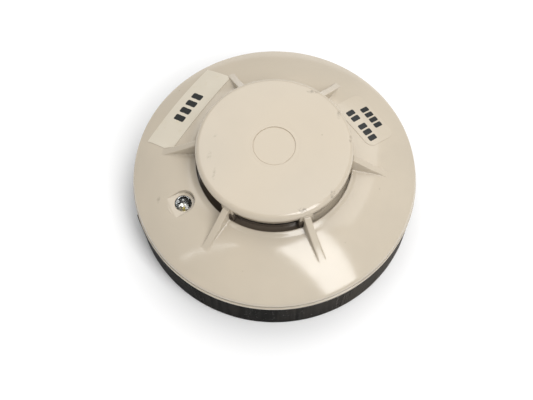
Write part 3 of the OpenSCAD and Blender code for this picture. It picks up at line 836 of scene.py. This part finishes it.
def cap_mesh():
    """The cap with its skirt: a shallow round recess, a fine line about it, and a slightly crowned top."""
    crown = 0.12
    top = cap_top - crown
    line_r = RECESS_R + 1.15
    recess_z = cap_top - RECESS_DEPTH
    profile = [(RECESS_R * i / 6, recess_z) for i in range(6)]
    profile += [(RECESS_R - 0.30, recess_z), (RECESS_R - 0.14, recess_z - 0.12)]
    profile += [(RECESS_R - 0.02, recess_z - 0.12), (RECESS_R + 0.02, cap_top - 0.05)]
    profile += [(RECESS_R + 0.09, cap_top)]
    profile += [(line_r - 0.2, cap_top), (line_r - 0.06, cap_top - 0.025), (line_r + 0.06, cap_top - 0.025)]
    profile += [(line_r + 0.2, cap_top)]
    inner = cap_r - CAP_FILLET
    for i in range(1, 12):
        r = mix(line_r + 0.2, inner, i / 12)
        profile.append((r, cap_top - crown * (r / inner) ** 3))
    profile += corner(inner, top - CAP_FILLET, CAP_FILLET, 88, 0, 10)
    profile += corner(cap_r - 0.25, skirt_z1 + 0.25, 0.25, 0, -90, 4)
    profile += corner(skirt_r + 0.2, skirt_z1 - 0.2, 0.2, 90, 180, 3)
    profile += corner(skirt_r - 0.25, skirt_z0 + 0.25, 0.25, 0, -90, 4)
    profile += corner(skirt_in_r + 0.2, skirt_z0 + 0.2, 0.2, -90, -180, 3)
    profile += corner(skirt_in_r - 0.6, cap_under - 0.6, 0.6, 0, 90, 4)
    profile += [(12.0, cap_under), (0.0, cap_under)]
    return revolve("cap", profile, 240)


def post_mesh(fin):
    """The post behind a fin, in two steps: up to the skirt, and a foot under the lip."""
    angle = fin * 360 / FIN_COUNT
    inner, under_z = skirt_in_r + 0.05, dome_under_z(lip_out_r)
    upper = prism("post", rounded_outline(inner, cap_r - 0.3, POST_W, 0.45),
                  [(lip_z - 0.7, 0), (skirt_z1 + 0.2, 0)], angle)
    lower = prism("foot", rounded_outline(inner, lip_out_r - 0.55, POST_W, 0.3),
                  [(under_z + 0.05, 0.15), (under_z + 0.2, 0), (lip_z - 0.55, 0)], angle)
    return [upper, lower]


def pocket_cutter():
    """The LED's pocket: a flat floor open outwards, a rounded foot, and a rim that rounds into the slope."""
    foot, rim, far = 0.35, 0.35, FIN_MARGIN - 1
    arc = [(math.cos(math.radians(a)), math.sin(math.radians(a))) for a in range(90, 271, 6)]
    sides = [far * (1 - i / 14) for i in range(14)]

    def outline(grow):
        size = POCKET_R + grow
        line = [(x, size) for x in sides] + [(c * size, s * size) for c, s in arc]
        return line + [(x, -size) for x in reversed(sides)]

    def height(point):
        x, y, _ = place(point[0], point[1], 0, led_r, 0)
        return slope_z(math.hypot(x, y)) - pocket_z

    loops = []
    levels = [("floor", math.radians(90 * i / 5)) for i in range(6)]
    levels += [("rim", math.radians(90 * i / 6)) for i in range(7)]
    levels += [("over", 0.6), ("over", 3.0)]
    base = outline(0.0)
    for kind, a in levels:
        if kind == "floor":
            grow = foot * (math.sin(a) - 1)
        elif kind == "rim":
            grow = rim * (1 - math.cos(a))
        else:
            grow = rim + a * 0.5
        loop = []
        for point, home in zip(outline(grow), base):
            tall = height(point)
            share = min(1.0, max(0.0, tall / (foot + rim)))
            if kind == "floor":
                z = pocket_z + share * foot * (1 - math.cos(a))
            elif kind == "rim":
                z = pocket_z + max(0.0, tall) - share * rim * (1 - math.sin(a))
                z = max(z, pocket_z + share * foot)
            else:
                z = pocket_z + max(0.0, tall) + a
            loop.append(place(point[0], point[1], LED_ANGLE, led_r, z))
        loops.append(loop)
    return loops_mesh("pocket", loops)


# The three screws that join cover and housing
SCREW_BOSS_R = 2.9
SCREW_HOLE_R = 1.25
screw_places = [on_plan(ring_out_r, 30 + 120 * i) for i in range(3)]


def front_cover():
    cover = slope_mesh()
    boss_r, boss_top = POCKET_R + 1.6, pocket_z - 0.2
    joined = [cap_mesh()]
    for fin in range(FIN_COUNT):
        joined += post_mesh(fin)
    joined.append(revolve("lens_boss", [(0.0, boss_top), (boss_r, boss_top)]
                          + corner(boss_r - 0.3, lens_boss_z + 0.3, 0.3, 0, -90, 3) + [(0.0, lens_boss_z)],
                          64, lens_at))
    roof = dome_z(ring_out_r + SCREW_BOSS_R)
    joined += [rod("screw_boss", SCREW_BOSS_R, edge_z1 + 0.05, roof - 0.15, 48, at) for at in screw_places]
    combine(cover, joined, "UNION")
    bore = LENS_R + LENS_PLAY
    cuts = [pocket_cutter()]
    cuts.append(revolve("bore", [(0.0, lens_boss_z - 1), (bore, lens_boss_z - 1), (bore, pocket_z - 0.18),
                                 (bore + 0.06, pocket_z - 0.05), (bore + 0.22, pocket_z + 0.02),
                                 (bore + 0.3, pocket_z + 1), (0.0, pocket_z + 1)], 96, lens_at))
    cuts += [rod("screw_hole", SCREW_HOLE_R, edge_z1 - 1, roof - 1.15, 32, at) for at in screw_places]
    combine(cover, cuts, "DIFFERENCE")
    dress(cover, "head", "cover_plastic", ["front_cover"], 33, WELD)


front_cover()


# ---- Rear housing, with the thin rim edge that shows under the cover ----

# How far the pale edge stands past the CAD cover, and the places of the board's posts and the contact pins
EDGE_PROUD = 0.17
BOARD_POST_RING = 30
PIN_RING = 35.25
PIN_ANGLE0 = 49.5
PIN_HOLE_R = 1.25


def sector_block(name, r0, r1, z0, z1, a0, a1):
    """Part of a ring with rounded long edges."""
    edge, steps = 0.3, 12
    section = (corner(r1 - edge, z1 - edge, edge, 90, 0, 3) + corner(r1 - edge, z0 + edge, edge, 0, -90, 3)
               + [(r0, z0), (r0, z1)])
    loops = [[polar(r, mix(a0, a1, i / steps), z) for r, z in section] for i in range(steps + 1)]
    return loops_mesh(name, loops)


def rear_housing():
    floor_top = plug_z + 1.8
    tongue_0, tongue_1 = cover_r - WALL - 1.4, cover_r - WALL - 0.2
    tongue_z = edge_z1 + GROOVE_H + 0.4
    profile = [(0.0, plug_z), (20.0, plug_z)]
    profile += corner(plug_r - 0.5, plug_z + 0.5, 0.5, -90, 0, 4)
    profile += corner(plug_r + 0.4, nest_z - 0.4, 0.4, 180, 90, 3)
    profile += corner(edge_in_r - 0.3, nest_z + 0.3, 0.3, -90, 0, 3)
    profile += [(edge_in_r, edge_z0)]
    lip_r = cover_r + EDGE_PROUD
    profile += corner(lip_r - 0.2, edge_z0 + 0.2, 0.2, -90, 0, 5)
    profile += corner(lip_r - 0.5, edge_z1 - 0.5, 0.5, 0, 90, 8)
    profile += [(tongue_1, edge_z1)]
    profile += corner(tongue_1 - 0.2, tongue_z - 0.2, 0.2, 0, 90, 3)
    profile += corner(tongue_0 + 0.2, tongue_z - 0.2, 0.2, 90, 180, 3)
    profile += [(tongue_0, edge_z1)]
    profile += corner(plug_in_r + 0.3, edge_z1 - 0.3, 0.3, 90, 180, 3)
    profile += corner(plug_in_r - 0.5, floor_top + 0.5, 0.5, 0, -90, 3)
    profile += [(20.0, floor_top), (0.0, floor_top)]
    housing = revolve("rear_housing_shell", profile, 240)
    lug_half = LUG_SPAN / 2
    joined = []
    for i in range(TWIST_LUGS):
        middle = LUG_ANGLE0 + 120 * i
        joined.append(sector_block("lug", plug_r - 0.3, lug_r, plug_z + 0.005, plug_z + LUG_T,
                                   middle - lug_half, middle + lug_half))
        at = on_plan(BOARD_POST_RING, 120 * i)
        post = [(0.0, board_top - 1.6), (2.2, board_top - 1.6), (2.5, board_top - 1.9)]
        post += [(2.5, plug_z + 0.5), (0.0, plug_z + 0.5)]
        joined.append(revolve("board_post", post, 40, at))
    combine(housing, joined, "UNION")
    cuts = [rod("screw_hole", SCREW_HOLE_R, nest_z - 1, edge_z1 + 1, 32, at) for at in screw_places]
    for i in range(4):
        at = on_plan(PIN_RING, PIN_ANGLE0 + 90 * i)
        cuts.append(rod("pin_hole", PIN_HOLE_R, plug_z - 1, floor_top + 1, 32, at))
    combine(housing, cuts, "DIFFERENCE")
    paint = cover_plastic("cream_abs_back", False)
    dress(housing, "head", "cover_plastic", ["rear_housing"], 33, WELD, paint)


rear_housing()


# ---- Insect screen: a fine woven ring ----

def tube(points, radius, sides, closed):
    """Points and faces of a thin round wire along a line."""
    count = len(points)
    made, faces = [], []
    for i, p in enumerate(points):
        before = points[i - 1] if closed or i else points[0]
        after = points[(i + 1) % count] if closed or i < count - 1 else points[-1]
        along = (Vector(after) - Vector(before)).normalized()
        out = Vector((p[0], p[1], 0)).normalized()
        out = (out - along * out.dot(along)).normalized()
        across = along.cross(out)
        for j in range(sides):
            a = 2 * math.pi * j / sides
            made.append(tuple(Vector(p) + (out * math.cos(a) + across * math.sin(a)) * radius))
    for i in range(count if closed else count - 1):
        faces += bridge(i * sides, (i + 1) % count * sides, sides)
    if not closed:
        faces.append(tuple(range(sides)))
        faces.append(tuple(range((count - 1) * sides, count * sides)))
    return made, faces


def insect_screen():
    """Upright and round wires that pass over and under each other, and a hem at each end."""
    middle_r = screen_hi.x - 0.2
    wire, weave = 0.085, 0.085
    uprights, rings = 168, 9
    low, high = screen_lo.z + 0.1, screen_hi.z - 0.1
    points, faces = [], []

    def add(piece):
        shift = len(points)
        points.extend(piece[0])
        faces.extend(tuple(k + shift for k in face) for face in piece[1])

    for i in range(uprights):
        phase = math.pi * (i % 2)
        steps = rings * 4
        line = [polar(middle_r + weave * math.cos(math.pi * rings * k / steps + phase), 360 * i / uprights,
                      mix(low, high, k / steps)) for k in range(steps + 1)]
        add(tube(line, wire, 5, False))
    for row in range(rings):
        phase = math.pi * (row % 2)
        z = mix(low, high, (row + 0.5) / rings)
        steps = uprights * 3
        line = [polar(middle_r + weave * math.sin(math.pi * uprights * k / steps + phase), 360 * k / steps, z)
                for k in range(steps)]
        add(tube(line, wire, 5, True))
    piece = make_mesh("insect_screen_weave", points, faces)
    dress(piece, "head", "screen_mesh", ["insect_screen"], 80)
    inner, outer, hem_h = middle_r - 0.19, middle_r + 0.19, 0.5
    hems = []
    for z in (screen_lo.z, screen_hi.z - hem_h):
        profile = [(inner, z), (outer, z), (outer, z + hem_h), (inner, z + hem_h)]
        hems.append(revolve("screen_hem", profile, 168))
    hem = combine(hems[0], hems[1:], "UNION")
    hem.name = "insect_screen_hems"
    dress(hem, "head", "screen_mesh")


insect_screen()


# ---- Indicator: a clear domed lens over a lead frame in a black sleeve ----

def indicator():
    dome_foot = pocket_z + 0.3
    dome_h = lens_hi.z - dome_foot
    bend_r = (LENS_R ** 2 + dome_h ** 2) / (2 * dome_h)
    bend_a = math.degrees(math.asin(LENS_R / bend_r))
    centre_z = lens_hi.z - bend_r
    core_r = LENS_R - 0.42
    core_z = lens_lo.z + 1.2
    sleeve_top = dome_foot - 1.1
    profile = [(0.0, lens_hi.z)]
    profile += [(bend_r * math.sin(math.radians(bend_a * i / 14)),
                 centre_z + bend_r * math.cos(math.radians(bend_a * i / 14))) for i in range(1, 14)]
    profile += [(LENS_R - 0.05, dome_foot + 0.04), (LENS_R, dome_foot - 0.05)]
    profile += [(LENS_R, sleeve_top + 0.1), (LENS_R - 0.1, sleeve_top + 0.02), (core_r, sleeve_top + 0.02)]
    profile += [(core_r, core_z + 0.4), (core_r - 0.3, core_z + 0.05), (0.0, core_z)]
    lens = revolve("indicator_lens_clear", profile, 96, lens_at)
    dress(lens, "head", "lens_clear", ["indicator_lens"], 40)

    hole = core_r + 0.04
    collar_r = LENS_R + 0.9
    sleeve = revolve("indicator_sleeve", [
        (0.0, lens_lo.z), (LENS_R - 0.2, lens_lo.z), (LENS_R, lens_lo.z + 0.2), (LENS_R, lens_boss_z - 1),
        (collar_r - 0.15, lens_boss_z - 1), (collar_r, lens_boss_z - 0.85), (collar_r, lens_boss_z - 0.2),
        (collar_r - 0.15, lens_boss_z - 0.05), (LENS_R, lens_boss_z - 0.05), (LENS_R, sleeve_top),
        (hole, sleeve_top), (hole, core_z - 0.05), (0.0, core_z - 0.05)], 96, lens_at)
    dress(sleeve, "head", "chip_body", (), 40, paint=sleeve_black())

    # The lead frame stands inside the resin: a flared anvil that holds the die, and a thin second post
    anvil_z = dome_foot - 2.0
    anvil_at = (lens_at[0] + 0.15, lens_at[1] - 0.95)
    anvil = revolve("led_anvil", [
        (0.0, anvil_z - 0.3), (0.45, anvil_z - 0.3), (0.85, anvil_z), (1.45, anvil_z + 0.05),
        (1.62, anvil_z - 0.1), (1.55, anvil_z - 0.5), (0.9, anvil_z - 1.2), (0.45, anvil_z - 1.6),
        (0.4, core_z + 0.3), (0.0, core_z + 0.3)], 48, anvil_at)
    dress(anvil, "head", "tinned_wire", (), 40)
    second_at = (lens_at[0] - 0.25, lens_at[1] + 1.25)
    second = revolve("led_second_post", [
        (0.0, anvil_z + 0.5), (0.22, anvil_z + 0.5), (0.34, anvil_z + 0.3), (0.34, core_z + 0.3),
        (0.0, core_z + 0.3)], 32, second_at)
    dress(second, "head", "tinned_wire", (), 40)
    die = prism("led_die", rounded_outline(-0.3, 0.3, 0.6, 0.12, 3),
                [(anvil_z - 0.28, 0.0), (anvil_z - 0.06, 0.0), (anvil_z, 0.06)])
    die.data.transform(Matrix.Translation(Vector((anvil_at[0], anvil_at[1], 0))))
    dress(die, "head", "led_body", (), 40, paint=led_die())
    wire = []
    for i in range(13):
        t = i / 12
        rise = mix(anvil_z, anvil_z + 0.45, t) + 0.5 * math.sin(math.pi * t)
        wire.append((mix(anvil_at[0], second_at[0], t), mix(anvil_at[1], second_at[1], t), rise))
    bond = make_mesh("led_bond_wire", *tube(wire, 0.03, 6, False))
    dress(bond, "head", "tinned_wire", (), 80, paint=SLOT_PAINTS["screw_brass"])


indicator()


# ---- Labels ----

class Label:
    """A flat place on the slope: its middle, and the angle that its short side points."""

    def __init__(self, radius, angle, turn):
        self.middle = on_plan(radius, angle)
        self.turn = turn

    def point(self, u, v, gap):
        a = math.radians(self.turn)
        x = self.middle[0] + u * math.cos(a) - v * math.sin(a)
        y = self.middle[1] + u * math.sin(a) + v * math.cos(a)
        return (x, y, slope_z(math.hypot(x, y)) + gap)

    def rise(self, u, v):
        """Height of the nearest fin over the slope there."""
        x, y, _ = self.point(u, v, 0)
        r, a = math.hypot(x, y), math.degrees(math.atan2(y, x))
        step = 360 / FIN_COUNT
        off = math.radians(a - step * round(a / step))
        return fin_rise(r, r * math.sin(off))


def label_sheet(name, label, rows, gap, thick, curl=0.0):
    """A thin sheet over rows of (u, lowest v, highest v). Its ends may curl up a little."""
    steps = 44
    top, bottom = [], []
    for u, v0, v1 in rows:
        for i in range(steps + 1):
            t = i / steps
            lift = curl * max(0.0, abs(2 * t - 1) - 0.9) * 10
            v = mix(v0, v1, t)
            bottom.append(label.point(u, v, gap + lift))
            top.append(label.point(u, v, gap + lift + thick))
    width = steps + 1
    count = len(top)
    faces = []
    for i in range(len(rows) - 1):
        for j in range(steps):
            a = i * width + j
            faces.append((a, a + 1, a + width + 1, a + width))
            b = a + count
            faces.append((b, b + width, b + width + 1, b + 1))
    rim = list(range(width)) + [i * width + steps for i in range(1, len(rows))]
    rim += [(len(rows) - 1) * width + j for j in range(steps - 1, -1, -1)]
    rim += [i * width for i in range(len(rows) - 2, 0, -1)]
    for i, a in enumerate(rim):
        b = rim[(i + 1) % len(rim)]
        faces.append((a, a + count, b + count, b))
    return make_mesh(name, top + bottom, faces)


TAPE_L, TAPE_W = 40.0, 12.0
STICKER_L, STICKER_W, STICKER_CORNER = 22.0, 13.0, 3.0
LABEL_GAP, LABEL_T, INK_T = 0.04, 0.14, 0.04
tape = Label(cover_r - 13.6, 150.1, 152.4)
sticker = Label(cover_r - 15.6, 33.6, 44)


def reach_of(label, u, half, way):
    """How far the label runs that way before it meets a fin."""
    v = 0.0
    while v < half and label.rise(u, way * (v + 0.1)) < 0.04:
        v += 0.1
    return way * min(v, half)


def address_tape():
    rows = []
    steps = 26
    for i in range(steps + 1):
        u = mix(-TAPE_W / 2, TAPE_W / 2, i / steps)
        rows.append((u, reach_of(tape, u, TAPE_L / 2, -1), reach_of(tape, u, TAPE_L / 2, 1)))
    sheet = label_sheet("address_tape_sheet", tape, rows, LABEL_GAP, LABEL_T, 0.05)
    dress(sheet, "head", "tape_paper", ["address_tape"], 30)


def clear_sticker():
    half_w, half_l = STICKER_W / 2, STICKER_L / 2
    rows = []
    steps = 30
    for i in range(steps + 1):
        u = -half_w * math.cos(math.pi * i / steps)
        past = max(0.0, abs(u) - (half_w - STICKER_CORNER))
        v = half_l - STICKER_CORNER + math.sqrt(max(0.0, STICKER_CORNER ** 2 - past ** 2))
        rows.append((u, -v, v))
    sheet = label_sheet("clear_sticker_sheet", sticker, rows, LABEL_GAP, LABEL_T)
    dress(sheet, "head", "sticker_film", ["clear_sticker"], 30)


def ink_blocks(name, label, blocks, ink):
    """Plain dark blocks in place of the printed marks: (u, v, height, width) of each."""
    points, faces = [], []
    for u0, v0, tall, wide in blocks:
        outline = rounded_outline(-tall / 2, tall / 2, wide, min(tall, wide) * 0.22, 3)
        low = LABEL_GAP + LABEL_T - 0.01
        shift = len(points)
        count = len(outline)
        rings = [(low, share) for share in (0.0, 0.3, 0.6, 0.85, 1.0)]
        rings += [(low + INK_T, share) for share in (1.0, 0.85, 0.6, 0.3, 0.0)]
        for gap, share in rings:
            scale = max(share, 0.02)
            points += [label.point(u0 + x * scale, v0 + y * scale, gap) for x, y in outline]
        for i in range(len(rings) - 1):
            here = shift + i * count
            faces += bridge(here, here + count, count)
        last = shift + (len(rings) - 1) * count
        faces += [tuple(range(shift, shift + count)), tuple(range(last, last + count))]
    dress(make_mesh(name, points, faces), "head", "chip_body", (), 30, paint=ink)


address_tape()
clear_sticker()
ink = print_ink()
ink_blocks("tape_marks", tape, [(0.0, -5.35 + 3.85 * i, 4.7, 2.6) for i in range(4)], ink)
ink_blocks("sticker_marks", sticker,
           [(-2.8, 5.1 - 2.9 * i - (1.4 if i > 1 else 0.0), 3.6, 2.2) for i in range(5)]
           + [(3.2, 3.6 - 2.65 * i, 3.6, 2.0) for i in range(4)], ink)


# ---- Steel base ----

def base_band():
    """The rolled band, open at its seam. Its free end stands a little proud, and the sheet waves slightly."""
    half_gap = math.degrees(SEAM_W / 2 / base_r)
    edge = 0.35
    section = (corner(base_r - edge, base_h - edge, edge, 0, 90, 5)
               + corner(base_in_r + edge, base_h - edge, edge, 90, 180, 5)
               + [(base_in_r, mix(base_h, sheet_t, 0.5)), (base_in_r, sheet_t), (base_r - 0.05, sheet_t)]
               + [(base_r, mix(sheet_t, base_h, i / 8)) for i in range(0, 8)])
    steps = 360
    loops = []
    for i in range(steps + 1):
        turn = mix(half_gap, 360 - half_gap, i / steps)
        angle = SEAM_ANGLE + turn
        wave = 0.035 * (1 - math.cos(math.radians(7 * turn))) + 0.02 * (1 - math.cos(math.radians(17 * turn)))
        proud = 0.35 * ramp(1 - turn / 14) - 0.25 * ramp(1 - (360 - turn) / 10)
        loop = []
        for r, z in section:
            up = (z - sheet_t) / (base_h - sheet_t)
            loop.append(polar(r - wave + proud * up, angle, z))
        loops.append(loop)
    dress(loops_mesh("base_band_sheet", loops), "base", "base_steel", ["base_band"])


def hole_cutter(name, outline, z0, z1, angle=0.0, radius=0.0, edge=0.2):
    """Cuts a hole with softly rounded edges on both faces of a sheet."""
    levels = [(z0 - 1, -edge), (z0, -edge), (z0 + edge * 0.3, -edge * 0.3), (z0 + edge, 0.0),
              (z1 - edge, 0.0), (z1 - edge * 0.3, -edge * 0.3), (z1, -edge), (z1 + 1, -edge)]
    return prism(name, outline, levels, angle, radius)


def round_outline(radius, steps=48):
    return [on_plan(radius, 360 * i / steps) for i in range(steps)]


# Rings on which the fixing slots, the fixing holes and the rivets lie
SLOT_RING = 30
HOLE_RING = 35
RIVET_RING = 41


def base_plate():
    """The back plate: rounded edge, a pressed bead near the rim, the cable entry and the fixing holes."""
    bead_r, bead_w, bead_h = 50.9, 1.5, 0.55
    top, bottom = [], []
    for i in range(13):
        r = mix(bead_r - bead_w, bead_r + bead_w, i / 12)
        lift = bead_h * 0.5 * (1 + math.cos(math.pi * (2 * i / 12 - 1)))
        bottom.append((r, lift))
        top.append((r, sheet_t + lift))
    profile = [(CABLE_R + 0.3, 0.0), (30.0, 0.0)] + bottom
    profile += corner(base_r - 1, 1.0, 1.0, -90, 0, 6)
    profile += [(base_r, sheet_t), (base_in_r, sheet_t)] + top[::-1]
    profile += [(30.0, sheet_t), (CABLE_R + 0.3, sheet_t), (CABLE_R, sheet_t - 0.3), (CABLE_R, 0.3)]
    plate = revolve("base_plate_sheet", profile, 240)
    cuts = []
    for side in (0, 180):
        cuts.append(hole_cutter("slot", rounded_outline(-6, 6, 4.5, 2.249, 8), 0, sheet_t, side, SLOT_RING))
        cuts.append(hole_cutter("hole", round_outline(2.25), 0, sheet_t, side + 90, HOLE_RING))
    for i in range(4):
        angle = 45 + 90 * i
        cuts.append(hole_cutter("rivet_hole", round_outline(1.55, 32), 0, sheet_t, angle, RIVET_RING, 0.1))
    combine(plate, cuts, "DIFFERENCE")
    dress(plate, "base", "base_steel", ["base_plate"], 33, WELD)


base_band()
base_plate()


# ---- Floor, light and camera ----

def stage_floor():
    """A square floor that lies just under the back plate."""
    size, drop = 3000, 0.2
    corners = [(-size, -size, 0), (size, -size, 0), (size, size, 0), (-size, size, 0)]
    mesh = make_mesh("floor", corners, [(0, 1, 2, 3)])
    mesh.data.transform(Matrix.Scale(MM, 4))
    mesh.data.materials.append(floor_paint())
    mesh.location.z = -drop * MM


def soft_light(name, azimuth, elevation, distance, width, height, radiance, roll=0.0):
    """A rectangular lamp that faces the detector, in metres. The brightness of its face sets its power."""
    lamp = bpy.data.lights.new(name, "AREA")
    lamp.shape = "RECTANGLE"
    lamp.size, lamp.size_y = width, height
    lamp.energy = radiance * width * height * math.pi
    thing = bpy.data.objects.new(name, lamp)
    a, e = math.radians(azimuth), math.radians(elevation)
    towards = Vector((math.cos(e) * math.cos(a), math.cos(e) * math.sin(a), math.sin(e)))
    thing.location = Vector((0, 0, 0.02)) + towards * distance
    thing.rotation_mode = "QUATERNION"
    rolled = Matrix.Rotation(math.radians(roll), 3, "Z").to_quaternion()
    thing.rotation_quaternion = towards.to_track_quat("Z", "Y") @ rolled
    bpy.context.scene.collection.objects.link(thing)


def studio():
    world = bpy.data.worlds.new("studio")
    bpy.context.scene.world = world
    world.use_nodes = True
    sky = world.node_tree.nodes["Background"]
    sky.inputs["Color"].default_value = (1.0, 0.995, 0.985, 1)
    sky.inputs["Strength"].default_value = 0.48
    soft_light("window", -38, 59, 1.2, 0.38, 1.12, 7.0, -9)
    soft_light("back", 84, 60, 1.4, 1.6, 1.2, 1.45)
    soft_light("strip", -148, 56, 1.0, 0.035, 0.70, 3.2)


# The photograph's viewing angle: from the front, well above, with a slight roll. The camera aims at a height
# on the axis and is then shifted a little to the left and down in its own picture plane.
CAMERA_TURN, CAMERA_TILT, CAMERA_ROLL = 7.9, 66.23, 1.52
CAMERA_AIM_Z, CAMERA_DISTANCE = 19.6, 330
CAMERA_LEFT, CAMERA_DOWN = 3.344, 11.12
LENS_LENGTH, SENSOR_WIDTH = 57.27, 36.0


def camera():
    turn, tilt, roll = (math.radians(a) for a in (CAMERA_TURN, CAMERA_TILT, CAMERA_ROLL))
    right = Vector((math.cos(turn), math.sin(turn), 0))
    back = Vector((math.cos(tilt) * math.sin(turn), -math.cos(tilt) * math.cos(turn), math.sin(tilt)))
    up = back.cross(right)
    lens = bpy.data.cameras.new("camera")
    lens.lens, lens.sensor_width = LENS_LENGTH, SENSOR_WIDTH
    lens.clip_start, lens.clip_end = 0.01, 20.0
    thing = bpy.data.objects.new("camera", lens)
    side = right * math.cos(roll) - up * math.sin(roll)
    top = up * math.cos(roll) + right * math.sin(roll)
    spot = Vector((0, 0, CAMERA_AIM_Z)) + back * CAMERA_DISTANCE - right * CAMERA_LEFT - up * CAMERA_DOWN
    spot *= MM
    thing.matrix_world = Matrix((
        (side.x, top.x, back.x, spot.x), (side.y, top.y, back.y, spot.y),
        (side.z, top.z, back.z, spot.z), (0, 0, 0, 1)))
    bpy.context.scene.collection.objects.link(thing)
    bpy.context.scene.camera = thing


stage_floor()
studio()
camera()
bpy.context.scene.view_settings.view_transform = "Standard"
